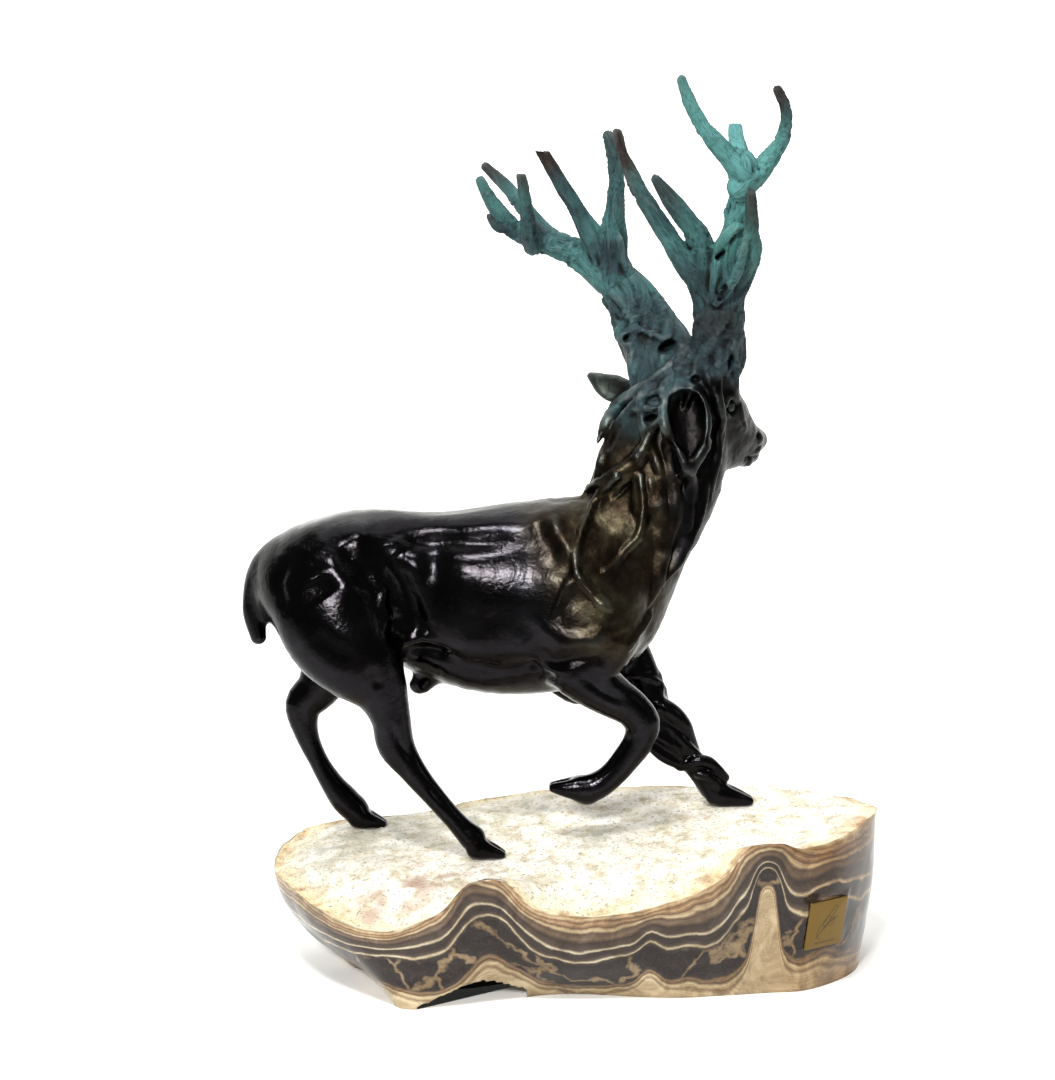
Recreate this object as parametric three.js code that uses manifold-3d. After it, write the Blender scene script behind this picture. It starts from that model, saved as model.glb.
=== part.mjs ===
// A running stag with branching antlers, cast in bronze, on a slab of banded stone that carries a
// small brass plate. Millimetres, +Z up, +X the way the stag runs, -Y the side with the plate.
// The origin is the middle of the slab's flat underside.

import * as THREE from 'three';
import { LoftGeometry } from 'three/addons/geometries/LoftGeometry.js';
import { mergeVertices } from 'three/addons/utils/BufferGeometryUtils.js';
import Module from 'manifold-3d';

const wasm = await Module();
wasm.setup();

// Stone slab
const slabLength = 416;
const slabDepth = 198;
const slabRise = 106;          // underside to the highest point of the rim
const slabUndercut = 64;       // how far the left end leans in towards the underside
const wallCurve = 2;           // how late the walls turn in on their way down
const shoulderWidth = 50;      // rim to where the top levels out
const notchWidth = 70;         // the dark gap under the front edge
const notchHeight = 15;
const notchDepth = 36;

// Seats of the standing hooves in the stone
const seatDepth = 2;
const seatClearance = 0.6;
const gap = 0.3;               // between pieces that touch

// Brass plate
const plateWidth = 33;
const plateHeight = 34;
const plateThickness = 1.5;
const plateSink = 2.4;         // the flat it sits on lies this far inside the wall
const plateMargin = 1;

// Stag: its stations are drawn for drawnHeight and follow stagHeight
const stagHeight = 510;        // lowest sole to the top of the antlers
const drawnHeight = 510;
const soleLevel = 82;          // underside of the slab to the lowest sole

const share = stagHeight / drawnHeight;

// Facets: sides of a ring, and the distance from ring to ring
const trunkSides = 8;
const trunkStep = 17 * share;
const tineSides = 6;
const tineStep = 19.6 * share;
const strandSides = 4;
const strandStep = 26 * share;
const legSides = 8;
const legStep = 14 * share;

const away = 400;              // past every part of the model
const at = (x, y, z) => new THREE.Vector3(x * share, y * share, soleLevel + z * share);

// Materials
const bronze = new THREE.MeshStandardMaterial({ color: 0x2b2321, metalness: 0.9, roughness: 0.35 });
const stone = new THREE.MeshStandardMaterial({ color: 0xcdbfa2, metalness: 0, roughness: 0.6 });
const brass = new THREE.MeshStandardMaterial({ color: 0xc2aa62, metalness: 1, roughness: 0.3 });

// Body, neck and head: [x, y, z, half width across, half depth]
const torso = [
  [-203, 10, 182, 19, 22], [-186, 10, 183, 33, 37], [-160, 10, 184, 40, 45], [-140, 10, 183, 39, 50],
  [-116, 10, 180, 37, 52], [-92, 10, 175, 38, 57], [-60, 10, 171, 45, 64], [-26, 10, 173, 47, 66],
  [6, 10, 177, 42, 63], [28, 10, 175, 34, 52], [37, 10, 171, 24, 38],
];
const neck = [
  [10, 10, 176, 32, 38], [31, 10, 203, 34, 40], [50, 10, 233, 31, 40], [60, 10, 263, 29, 42],
  [68, 9, 294, 26, 35], [78, 8, 318, 22, 26],
];
const head = [
  [76, 0, 312, 18, 20], [84, 6, 306, 20, 23], [94, 15, 297, 19, 22], [104, 26, 287, 16.5, 18],
  [113, 37, 281, 13, 13], [120, 46, 278, 11, 11], [124.5, 51.5, 277, 9, 9],
];
const jaw = [
  [84, 8, 270, 12, 14], [98, 20, 270, 11, 12.5], [110, 34, 268.5, 8.5, 10], [118, 44, 267, 7.5, 7.5],
  [121.5, 48.5, 266.5, 6.5, 6],
];
const headAcross = new THREE.Vector3(0.67, -0.74, 0);

// Legs from the body to the pastern, and the muscle that carries them
const nearHind = [
  [-148, -2, 200, 24, 26], [-163, -10, 182, 31, 40], [-160, -19, 158, 28, 38], [-147, -25, 138, 23, 31],
  [-132, -24, 117, 16, 19], [-124.5, -23, 97, 12, 13.5], [-121, -22, 77, 10.5, 12.5],
  [-110, -22, 60, 8, 9], [-94, -22, 40, 7, 7.2], [-81, -22, 25, 7, 7], [-71, -22, 14, 8.5, 8.5],
];
const farHind = [
  [-150, 22, 200, 24, 26], [-164, 30, 182, 31, 40], [-166, 39, 156, 26, 34], [-168, 44, 132, 19, 24],
  [-178, 44, 106, 14, 16], [-190, 44, 92, 10.5, 13], [-189, 44, 75, 8.5, 9], [-181, 45, 54, 7, 7],
  [-171, 46, 36, 8, 8], [-162, 46, 24, 9, 10], [-154, 46, 15, 9, 9],
];
const nearFore = [
  [-10, -6, 216, 15, 20], [0, -19, 188, 21, 32], [8, -24, 158, 21, 35], [3, -25, 134, 17, 26],
  [10, -24, 121, 15, 18], [23, -22, 111, 12, 15], [37, -19, 101, 10.5, 12.5], [44, -17, 91, 10, 12],
  [42, -16, 79, 8.5, 10.5], [34, -15, 67, 7.5, 9.5], [23, -14, 54, 7.5, 9], [12, -13, 46.5, 8.5, 9.5],
  [2, -12.5, 45, 8, 8.5],
];
const farFore = [
  [-10, 26, 216, 15, 20], [0, 39, 188, 21, 32], [12, 44, 160, 20, 32], [24, 43, 140, 17, 24],
  [40, 41, 119, 14, 18], [50, 40, 100, 12.5, 15], [57, 40, 83, 11.5, 13], [67, 40, 67, 11, 12],
  [80, 40, 54, 10, 10], [91, 40, 43, 9, 9.5], [97, 40, 34, 9.5, 10],
];
const farElbow = [[22, 40, 122, 12, 14], [8, 38, 110, 11, 12], [-4, 36, 105, 9, 9]];
const belly = [[-92, 10, 126, 8, 9], [-103, 10, 117, 7, 8], [-108, 10, 112, 5.5, 6]];
const tail = [
  [-192, 10, 205, 9, 8], [-209, 10, 198, 8, 8], [-217, 9, 182, 7.5, 7.5], [-219, 8, 163, 7.5, 7.5],
  [-216, 8, 146, 6, 5.5],
];
const mane = [[44, 2, 262, 12, 14], [30, -2, 262, 10, 14], [24, -2, 246, 8, 10]];

// Hooves: toe forwards, sole flat
const hooves = [
  { x: -60.5, y: -22, z: 0, length: 27, width: 17, height: 14 },
  { x: -145.5, y: 46, z: 4, length: 27, width: 17, height: 14 },
  { x: 109, y: 40, z: 21.5, length: 36, width: 20, height: 16 },
];
const hoofSides = 10;
const hoofCleft = 0.86;        // share of the length left at the notch between the halves
const liftedHoof = { x: -5, y: -12, z: 52, length: 31, width: 18, height: 16, turn: 2.92 };

// Ears: stations, the way they are wide, and where the hollow opens
const farEar = {
  stations: [[50, 26, 307, 5, 5], [38, 34, 311, 7, 5], [27, 41, 313, 9.5, 4], [18, 47, 317, 7, 3], [10, 53, 322, 2, 1.5]],
  wide: new THREE.Vector3(0.3, 0.2, 1),
  open: [-1.5, -3.5, 0],
};
const nearEar = {
  stations: [[68, -12, 314, 9, 7], [69, -20, 303, 13, 8], [71, -25, 290, 12, 6], [73, -27, 276, 8, 4], [75, -27, 265, 2.5, 2]],
  wide: new THREE.Vector3(1, 0, 0),
  open: [0, -4, -2],
};

// Antlers: trunk first, then every tine, each [x, y, z, radius]
const leftAntler = [
  [[60, 16, 316, 17, 21], [54, 28, 343, 18, 23], [46, 34, 362, 16, 20], [31, 38, 382, 13, 15], [16, 40, 399, 11, 13]],
  [[22, 38, 392, 13], [0, 44, 406.5, 10], [-17, 48, 412.5, 9], [-31, 52, 419.5, 7.5]],
  [[-21, 49, 416, 8], [-38, 62, 440.5, 5.2], [-52, 66, 456, 4], [-62, 68, 465.5, 3.4]],
  [[-29, 51, 419, 7.5], [-42, 52, 421.5, 6.8], [-53, 46, 434, 5.6], [-61, 40, 446.5, 4.4], [-65, 38, 454, 3.4]],
  [[-46, 47, 422, 4.2], [-54, 40, 423, 3.4], [-59, 36, 430, 2.6]],
  [[-29, 47, 411, 7], [-32.5, 32, 424, 5.5], [-34.5, 21, 439, 4.2], [-36.5, 14, 453.5, 2.7]],
  [[20, 37, 396, 10], [3, 22, 429, 6], [-10.5, 12, 450.5, 5], [-22.5, 4, 469, 4.2]],
  [[24, 36, 392, 12], [24.5, 26, 425, 7.5], [27, 18, 450, 5.6], [24, 12, 471, 5], [20.5, 8, 481, 4]],
];
const rightAntler = [
  [[84, 8, 312, 15, 18], [92, -3, 336, 15, 17], [94, -12, 356, 14, 16], [92, -18, 373, 13, 15]],
  [[89, -18, 370, 10], [73, -30, 392, 8], [53.5, -40, 418.5, 6.4], [39, -46, 441, 5.2], [29, -48, 462, 4], [24, -48, 478, 3]],
  [[89, -20, 374, 10], [77.5, -40, 411, 7.6], [61, -52, 432, 5.8], [48, -60, 448, 3.8]],
  [[96, -16, 368, 10], [104, -30, 384, 8], [110, -52, 402, 6.3], [108.6, -66, 415, 5.1], [107, -75, 428, 4], [106, -80, 437.5, 2.8]],
  [[92, -20, 372, 11], [95, -36, 398, 9], [100, -54, 424, 7.6], [101.5, -66, 444, 7], [101, -74, 457, 8]],
  [[100, -74, 453, 7], [88, -80, 465, 6], [75.5, -84, 478, 5], [67, -84, 493.5, 3.8], [62, -82, 507, 2.7]],
  [[100.5, -72, 456, 7.5], [98.5, -64, 471, 5.4], [97.5, -59, 481, 3.9]],
  [[100, -70, 442, 8], [111, -68, 452, 7], [121.5, -65, 464, 5.8], [128, -65, 476, 4.8], [129, -67, 487, 4], [126.5, -70, 495, 3.5],
    [122.5, -72, 502, 3]],
];

// Roots that run down from the antlers over head, neck and shoulder, as seen from the side:
// [x, z, radius], laid on the skin
const nearRoots = [
  [[98, 336, 5], [93, 318, 4], [92, 303, 3.5], [95, 286, 3.5], [97, 272, 3], [92, 256, 3.5], [88, 228, 3.5], [80, 200, 2.5]],
  [[74, 330, 4.5], [62, 308, 4], [59, 290, 3.5], [63, 270, 4], [72, 240, 4], [72, 208, 3.5], [66, 180, 2.5]],
  [[97, 270, 3], [86, 258, 3.5], [73, 246, 3.5], [70, 226, 2.5]],
  [[66, 332, 4.5], [54, 312, 4.5], [42, 298, 4], [42, 276, 4], [48, 248, 4], [51, 214, 3.5], [44, 184, 2.5]],
  [[56, 330, 5], [36, 302, 5.5], [24, 278, 5], [16, 254, 5], [8, 234, 6], [-2, 226, 4]],
  [[46, 262, 4.5], [32, 248, 5], [14, 232, 5], [4, 212, 4.5], [0, 190, 4], [10, 160, 3.5], [16, 140, 2.5]],
  [[47, 254, 3.5], [40, 226, 4], [30, 200, 4], [20, 176, 3], [16, 158, 2.5]],
];
const farRoots = [
  [[66, 332, 4.5], [52, 304, 4.5], [44, 270, 4.5], [50, 236, 4], [48, 200, 3]],
  [[50, 326, 5], [32, 300, 5], [20, 268, 5], [8, 236, 5], [-2, 210, 3.5], [6, 176, 2.5]],
  [[84, 320, 4.5], [78, 290, 4], [76, 256, 4], [70, 214, 3]],
];

// Rim of the slab, anticlockwise from the left tip as shares of half length, half depth and rise,
// with the share of the undercut below each corner
const rim = [
  [-1, 0.08, 0.66, 0.8], [-0.93, -0.3, 0.62, 0.92], [-0.77, -0.72, 0.53, 0.66], [-0.6, -0.96, 0.51, 0.2],
  [-0.43, -1, 0.64, 0.36], [-0.34, -1, 0.82, 0.5], [-0.25, -0.99, 0.82, 0.58], [-0.15, -0.98, 0.68, 0.6],
  [-0.03, -0.97, 0.61, 0.58], [0.13, -0.95, 0.62, 0.54], [0.36, -0.91, 0.73, 0.48], [0.46, -0.86, 0.83, 0.45],
  [0.53, -0.81, 0.99, 0.44], [0.63, -0.74, 1, 0.42], [0.72, -0.67, 0.95, 0.38], [0.82, -0.6, 0.99, 0.34],
  [0.96, -0.2, 1.05, 0.22], [1, 0.12, 1.02, 0.18], [0.99, 0.5, 0.98, 0.2], [0.92, 0.82, 0.95, 0.3],
  [0.76, 0.94, 0.96, 0.36], [0.45, 1, 0.98, 0.4], [0.14, 1, 0.98, 0.4], [-0.13, 1, 0.95, 0.4],
  [-0.32, 0.97, 0.9, 0.42], [-0.51, 0.91, 0.82, 0.48], [-0.72, 0.85, 0.8, 0.62], [-0.86, 0.74, 0.79, 0.8],
  [-0.96, 0.5, 0.75, 0.92],
];
const wallLevels = [0, 0.1, 0.3, 0.6, 0.86, 1];   // shares of the rim's height
const topInsets = [0.12, 0.42, 1];                // shares of the shoulder's width
const topShares = [0.6, 0.3, 0.08];               // shares of what is left to the middle
const rimCount = 36;
const plateAlong = 0.5168;                        // where the plate sits on the way round the rim
const plateLevel = 0.45;                          // and how far up the wall
const notchAt = -0.33;                            // share of half the length

// A closed mesh as a solid for joining and cutting, and back
function solid(geometry) {
  const bare = new THREE.BufferGeometry();
  bare.setAttribute('position', geometry.attributes.position);
  bare.setIndex(geometry.index);
  const merged = mergeVertices(bare, 1e-3);
  const corners = merged.index.array;
  const kept = [];
  for (let i = 0; i < corners.length; i += 3) {
    const [a, b, c] = corners.slice(i, i + 3);
    if (a !== b && b !== c && c !== a) kept.push(a, b, c);
  }
  const vertProperties = merged.attributes.position.array;
  return new wasm.Manifold(new wasm.Mesh({ numProp: 3, vertProperties, triVerts: new Uint32Array(kept) }));
}

// Rings of points skinned into a solid, each end closed on the middle of its ring
function skinned(rings) {
  const closing = (ring) => {
    const middle = ring.reduce((sum, point) => sum.add(point), new THREE.Vector3()).divideScalar(ring.length);
    return ring.map(() => middle);
  };
  return solid(new LoftGeometry([closing(rings[0]), ...rings, closing(rings.at(-1))]));
}

function meshOf(name, manifold, material) {
  const { vertProperties, triVerts } = manifold.getMesh();
  const geometry = new THREE.BufferGeometry();
  geometry.setAttribute('position', new THREE.BufferAttribute(vertProperties, 3));
  geometry.setIndex(new THREE.BufferAttribute(triVerts, 1));
  geometry.computeVertexNormals();
  const mesh = new THREE.Mesh(geometry, material);
  mesh.name = name;
  return mesh;
}

// Stations drawn for drawnHeight, at the stag's real size
const drawn = (stations) => stations.map(([x, y, z, across, deep = across]) => ({
  point: at(x, y, z), across: across * share, deep: deep * share,
}));

// A closed limb through its stations, with domed ends
function limb(stations, sides, step, wideWay = new THREE.Vector3(0, 1, 0)) {
  const path = new THREE.CatmullRomCurve3(stations.map((station) => station.point), false, 'centripetal');
  const sizes = stations.map(({ across, deep }) => new THREE.Vector3(across, deep, 0));
  const girth = new THREE.CatmullRomCurve3(sizes, false, 'catmullrom', 0.5);
  const ring = (t, slide, shrink) => {
    const along = path.getTangent(t);
    const wide = wideWay.clone().addScaledVector(along, -wideWay.dot(along)).normalize();
    const tall = along.clone().cross(wide);
    const size = girth.getPoint(t);
    const centre = path.getPoint(t).addScaledVector(along, slide * Math.min(size.x, size.y));
    return Array.from({ length: sides }, (_, side) => {
      const turn = (2 * Math.PI * side) / sides;
      return centre.clone()
        .addScaledVector(wide, Math.cos(turn) * size.x * shrink)
        .addScaledVector(tall, Math.sin(turn) * size.y * shrink);
    });
  };
  const dome = sides > 6 ? [[0.9, 0.45], [0.5, 0.86]] : [[0.6, 0.6]];
  const count = Math.max(2, Math.round(path.getLength() / step));
  const rings = [
    ...dome.map(([slide, shrink]) => ring(0, -slide, shrink)),
    ...Array.from({ length: count + 1 }, (_, i) => ring(path.getUtoTmapping(i / count), 0, 1)),
    ...dome.toReversed().map(([slide, shrink]) => ring(1, slide, shrink)),
  ];
  return skinned(rings);
}

// A strand wound round a limb
function wound(stations, { turns, phase, radius, from = 0, to = 1, lift = 0.9 }) {
  const path = new THREE.CatmullRomCurve3(stations.map((station) => station.point), false, 'centripetal');
  const sizes = stations.map(({ across, deep }) => new THREE.Vector3(across, deep, 0));
  const girth = new THREE.CatmullRomCurve3(sizes, false, 'catmullrom', 0.5);
  const count = 4 + Math.round(Math.abs(turns) * 7);
  return Array.from({ length: count + 1 }, (_, i) => {
    const t = from + ((to - from) * i) / count;
    const along = path.getTangent(t);
    const wide = new THREE.Vector3(0, 1, 0).addScaledVector(along, -along.y).normalize();
    const tall = along.clone().cross(wide);
    const size = girth.getPoint(t);
    const turn = phase + (2 * Math.PI * turns * i) / count;
    const point = path.getPoint(t)
      .addScaledVector(wide, Math.cos(turn) * size.x * lift)
      .addScaledVector(tall, Math.sin(turn) * size.y * lift);
    return { point, across: radius * share, deep: radius * share };
  });
}

// A strand seen from the side, laid on the skin from the near side (-1) or the far side (1)
function laid(skin, route, side) {
  const flat = new THREE.CatmullRomCurve3(route.map(([x, z]) => at(x, 0, z)), false, 'centripetal');
  const girth = new THREE.CatmullRomCurve3(route.map(([, , radius]) => new THREE.Vector3(radius * share, 0, 0)));
  const count = Math.round(flat.getLength() / (11 * share));
  const inwards = new THREE.Vector3(0, -side, 0);
  const stations = [];
  for (let i = 0; i <= count; i += 1) {
    const t = i / count;
    const point = flat.getPoint(t);
    const radius = girth.getPoint(t).x;
    const ray = new THREE.Raycaster(new THREE.Vector3(point.x, side * away, point.z), inwards);
    const hit = ray.intersectObject(skin)[0];
    if (hit) stations.push({ point: hit.point, across: radius, deep: radius });
  }
  return stations;
}

// The outline of a cloven hoof, toe along +X, narrower at the toe and notched between its halves
function hoofOutline(length, width) {
  return Array.from({ length: hoofSides }, (_, i) => {
    const turn = (2 * Math.PI * i) / hoofSides;
    const cleft = i === 0 ? hoofCleft : 1;
    return new THREE.Vector2(
      (Math.cos(turn) * length * cleft) / 2,
      (Math.sin(turn) * width * (1 - 0.16 * Math.cos(turn))) / 2,
    );
  });
}

// A hoof with a flat sole whose middle is the origin, drawn in towards the pastern
function hoof({ length, width, height }) {
  const level = (up, shareLength, shareWidth, back) => (
    hoofOutline(length * shareLength * share, width * shareWidth * share)
      .map(({ x, y }) => new THREE.Vector3(x - back * length * share, y, up * height * share)));
  return skinned([
    level(0, 1, 1, 0), level(0.3, 0.94, 0.98, 0.02), level(0.75, 0.7, 0.9, 0.12), level(1.15, 0.42, 0.62, 0.24),
  ]);
}

const joined = (solids) => solids.reduce((sum, next) => sum.add(next));

// Bronze stag
function stag() {
  const body = joined([
    limb(drawn(torso), 16, 22 * share),
    limb(drawn(neck), 14, 20 * share),
    limb(drawn(head), 12, 11 * share, headAcross),
    limb(drawn(jaw), 8, 12 * share, headAcross),
    ...[nearHind, farHind, nearFore, farFore].map((leg) => limb(drawn(leg), legSides, legStep)),
    limb(drawn(farElbow), 7, 11 * share),
    limb(drawn(belly), 7, 9 * share),
    limb(drawn(tail), 7, 13 * share),
    limb(drawn(mane), 7, 12 * share),
  ]);
  const skin = meshOf('skin', body, bronze);
  const roots = [
    ...nearRoots.map((route) => laid(skin, route, -1)),
    ...farRoots.map((route) => laid(skin, route, 1)),
    wound(drawn(farFore), { turns: 1.1, phase: 2.4, radius: 4.2, from: 0.42, to: 1 }),
    wound(drawn(farFore), { turns: 1.1, phase: 4.5, radius: 3.6, from: 0.42, to: 1 }),
    wound(drawn(farFore), { turns: -0.9, phase: 0.4, radius: 3.4, from: 0.5, to: 1 }),
    ...[leftAntler[0], rightAntler[0]].flatMap((trunk) => [2.7, 4.6].map((phase) => (
      wound(drawn(trunk), { turns: 0.35, phase, radius: 6, lift: 0.72 })))),
  ].map((stations) => limb(stations, strandSides, strandStep));
  const antlers = [leftAntler, rightAntler].flatMap(([trunk, ...tines]) => [
    limb(drawn(trunk), trunkSides, trunkStep),
    ...tines.map((tine) => limb(drawn(tine), tineSides, tineStep)),
  ]);
  const ears = [farEar, nearEar].map(({ stations, wide, open }) => {
    const leaf = drawn(stations);
    const hollow = leaf.slice(1).map(({ point, across, deep }) => ({
      point: point.clone().add(new THREE.Vector3(...open).multiplyScalar(share)), across: across * 0.7, deep: deep * 0.8,
    }));
    return limb(leaf, 7, 11 * share, wide).subtract(limb(hollow, 5, 14 * share, wide));
  });
  const standing = hooves.map((foot) => {
    const { x, y, z } = at(foot.x, foot.y, foot.z);
    return hoof(foot).translate([x, y, z]);
  });
  const { x, y, z } = at(liftedHoof.x, liftedHoof.y, liftedHoof.z);
  const lifted = hoof(liftedHoof).rotate([0, THREE.MathUtils.radToDeg(liftedHoof.turn), 0]).translate([x, y, z]);
  return meshOf('bronze_stag', joined([body, ...roots, ...antlers, ...ears, ...standing, lifted]), bronze);
}

// The slab's wall at a share of the way round the rim and a share of its height
const rimLine = new THREE.CatmullRomCurve3(rim.map(([x, y, z]) => (
  new THREE.Vector3((x * slabLength) / 2, (y * slabDepth) / 2, z * slabRise))), true, 'centripetal');
const undercutLine = new THREE.CatmullRomCurve3(rim.map(([, , , under]) => (
  new THREE.Vector3(under * slabUndercut, 0, 0))), true, 'catmullrom', 0.5);
const inwardsOf = (point) => new THREE.Vector3(-point.x, -point.y, 0).normalize();

function wallPoint(around, level) {
  const edge = rimLine.getPoint(around);
  const under = undercutLine.getPoint(around).x * (1 - level) ** wallCurve;
  edge.addScaledVector(inwardsOf(edge), under);
  edge.z *= level;
  return edge;
}

// The top is the plane a little above the three standing soles, and falls or rises to the rim
const soles = hooves.map((foot) => at(foot.x, foot.y, foot.z));
const seatPlane = new THREE.Plane().setFromCoplanarPoints(...soles);
const planeLevel = (x, y) => {
  const { normal, constant } = seatPlane;
  return seatDepth - (normal.x * x + normal.y * y + constant) / normal.z;
};

function topRing(inset, middle) {
  return Array.from({ length: rimCount }, (_, i) => {
    const edge = rimLine.getPoint(i / rimCount);
    const point = edge.clone().addScaledVector(inwardsOf(edge), inset * shoulderWidth);
    point.multiply(new THREE.Vector3(middle, middle, 1));
    const level = THREE.MathUtils.smoothstep(inset, 0, 1);
    point.z = THREE.MathUtils.lerp(edge.z, planeLevel(point.x, point.y), level);
    return point;
  });
}

// A block with its base on the plane through a place, reaching outwards
function block(width, height, depth, place) {
  const box = new THREE.BoxGeometry(width, height, depth).translate(0, 0, depth / 2);
  return solid(box.applyMatrix4(place));
}

// Where the plate lies on the wall: X along it, Y up it, Z out of it
const plateCentre = wallPoint(plateAlong, plateLevel);
const plateX = wallPoint(plateAlong + 0.01, plateLevel).sub(wallPoint(plateAlong - 0.01, plateLevel)).setZ(0).normalize();
const plateUp = wallPoint(plateAlong, plateLevel + 0.12).sub(wallPoint(plateAlong, plateLevel - 0.12));
const plateOut = plateX.clone().cross(plateUp).normalize();
const platePlace = (sink) => new THREE.Matrix4()
  .makeBasis(plateX, plateOut.clone().cross(plateX), plateOut)
  .setPosition(plateCentre.clone().addScaledVector(plateOut, -sink));

// Stone slab, cut for the hooves, the plate and the gap under its front edge
function slab() {
  const around = Array.from({ length: rimCount }, (_, i) => i / rimCount);
  const rings = [
    ...wallLevels.map((level) => around.map((share) => wallPoint(share, level))),
    ...topInsets.map((inset) => topRing(inset, 1)),
    ...topShares.map((middle) => topRing(1, middle)),
  ];
  const rock = skinned(rings);
  const seats = hooves.map((foot, i) => {
    const [length, width] = [foot.length, foot.width].map((size) => size * share + 2 * seatClearance);
    const seat = new THREE.ExtrudeGeometry(new THREE.Shape(hoofOutline(length, width)), { depth: away, bevelEnabled: false });
    return solid(seat.translate(soles[i].x, soles[i].y, soles[i].z - gap));
  });
  const plateFlat = block(plateWidth + 2 * plateMargin, plateHeight + 2 * plateMargin, away / 8, platePlace(plateSink));
  const arch = new THREE.Shape([
    [-0.5, -0.2], [0.5, -0.2], [0.5, 0.35], [0.34, 0.7], [0.1, 1], [-0.16, 0.72], [-0.38, 0.3], [-0.5, 0.05],
  ].map(([x, z]) => new THREE.Vector2(x * notchWidth, z * notchHeight)));
  const notchX = (notchAt * slabLength) / 2;
  const frontX = rimLine.getPoints(rimCount * 4).filter((point) => point.y < 0)
    .reduce((best, point) => (Math.abs(point.x - notchX) < Math.abs(best.x - notchX) ? point : best));
  const notch = new THREE.ExtrudeGeometry(arch, { depth: away, bevelEnabled: false }).rotateX(Math.PI / 2);
  const notchBack = frontX.y + slabUndercut * 0.5 + notchDepth;
  return rock.subtract(joined([...seats, plateFlat, solid(notch.translate(notchX, notchBack, 0))]));
}

const plate = block(plateWidth, plateHeight, plateThickness, platePlace(plateSink - gap));

const group = new THREE.Group();
group.add(stag());
group.add(meshOf('stone_base', slab(), stone));
group.add(meshOf('brass_plate', plate, brass));

export default group;
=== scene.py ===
# A running bronze stag with root-like antlers on a slab of banded stone that carries a small brass
# plate. The stag is modelled as one blended surface, carved with strokes and covered with roots.
# Sizes are in millimetres until a mesh is made; heights of the stag are above its lowest sole.

import math
import bpy
import numpy as np
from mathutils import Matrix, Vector


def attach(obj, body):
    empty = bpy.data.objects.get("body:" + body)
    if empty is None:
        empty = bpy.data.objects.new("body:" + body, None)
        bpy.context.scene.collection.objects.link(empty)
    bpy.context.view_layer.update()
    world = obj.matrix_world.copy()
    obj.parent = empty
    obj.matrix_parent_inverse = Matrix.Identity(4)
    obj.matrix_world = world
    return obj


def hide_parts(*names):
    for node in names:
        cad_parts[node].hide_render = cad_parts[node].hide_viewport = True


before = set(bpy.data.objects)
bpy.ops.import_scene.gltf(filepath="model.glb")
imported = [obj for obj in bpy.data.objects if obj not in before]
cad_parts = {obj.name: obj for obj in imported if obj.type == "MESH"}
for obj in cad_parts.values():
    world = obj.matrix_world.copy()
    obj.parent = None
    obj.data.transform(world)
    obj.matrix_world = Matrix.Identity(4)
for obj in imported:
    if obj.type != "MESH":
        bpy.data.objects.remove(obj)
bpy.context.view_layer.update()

mm = 0.001
soleLevel = 82.0
nearSide = -1
farSide = 1


# Curves

# A smooth curve through points
def curveThrough(points, times, centripetal=True, closed=False):
    points = np.asarray(points, float)
    count = len(points)
    if closed:
        padded = np.vstack([points[-1], points, points[:2]])
        place = (np.asarray(times) % 1.0) * count
    else:
        first, last = 2 * points[0] - points[1], 2 * points[-1] - points[-2]
        padded = np.vstack([first, points, last])
        place = np.clip(times, 0, 1) * (count - 1)
    start = np.minimum(place.astype(int), count - 1 if closed else count - 2)
    w = (place - start)[:, None]
    p0, p1, p2, p3 = (padded[start + i] for i in range(4))
    if centripetal:
        gaps = [np.maximum(np.sum((b[:, :3] - a[:, :3]) ** 2, axis=1) ** 0.25, 1e-4)[:, None]
                for a, b in ((p0, p1), (p1, p2), (p2, p3))]
        g0, g1, g2 = gaps
        leave = ((p1 - p0) / g0 - (p2 - p0) / (g0 + g1) + (p2 - p1) / g1) * g1
        arrive = ((p2 - p1) / g1 - (p3 - p1) / (g1 + g2) + (p3 - p2) / g2) * g1
    else:
        leave, arrive = (p2 - p0) / 2, (p3 - p1) / 2
    return (p1 + leave * w + (3 * (p2 - p1) - 2 * leave - arrive) * w ** 2
            + (2 * (p1 - p2) + leave + arrive) * w ** 3)


# Points about one spacing apart along a curve, with half width and half depth beside each
def sampled(stations, spacing):
    stations = np.array([[*s[:3], s[3], s[4] if len(s) > 4 else s[3]] for s in stations], float)
    fine = curveThrough(stations, np.linspace(0, 1, 60 * len(stations)))
    steps = np.linalg.norm(np.diff(fine[:, :3], axis=0), axis=1)
    along = np.concatenate([[0], np.cumsum(steps)])
    count = max(2, int(round(along[-1] / spacing)) + 1)
    even = np.linspace(0, along[-1], count)
    return np.stack([np.interp(even, along, fine[:, i]) for i in range(5)], axis=1)


# Smooth noise between -1 and 1 whose lumps are one size apart
def noiseAt(points, size, seed=0):
    scaled = points / size
    cell = np.floor(scaled).astype(np.int64)
    part = scaled - cell
    part = part * part * (3 - 2 * part)
    total = np.zeros(len(points))
    for corner in range(8):
        side = np.array([corner & 1, (corner >> 1) & 1, corner >> 2])
        c = cell + side
        mixed = (c[:, 0] * 73856093) ^ (c[:, 1] * 19349663) ^ (c[:, 2] * 83492791) ^ (seed * 265443576)
        mixed = ((mixed & 0xFFFFFFFF) ^ ((mixed & 0xFFFFFFFF) >> 13)) * 1274126177
        value = (((mixed & 0xFFFFFFFF) >> 9) & 0xFFFF) / 32767.5 - 1
        total += value * np.prod(np.where(side, part, 1 - part), axis=1)
    return total


# Noise of several sizes added up: [size, seed, amount]
def noiseSum(points, layers):
    return sum(noiseAt(points, size, seed) * amount for size, seed, amount in layers)


def smooth(values, low, high):
    t = np.clip((values - low) / (high - low), 0, 1)
    return t * t * (3 - 2 * t)


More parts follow.
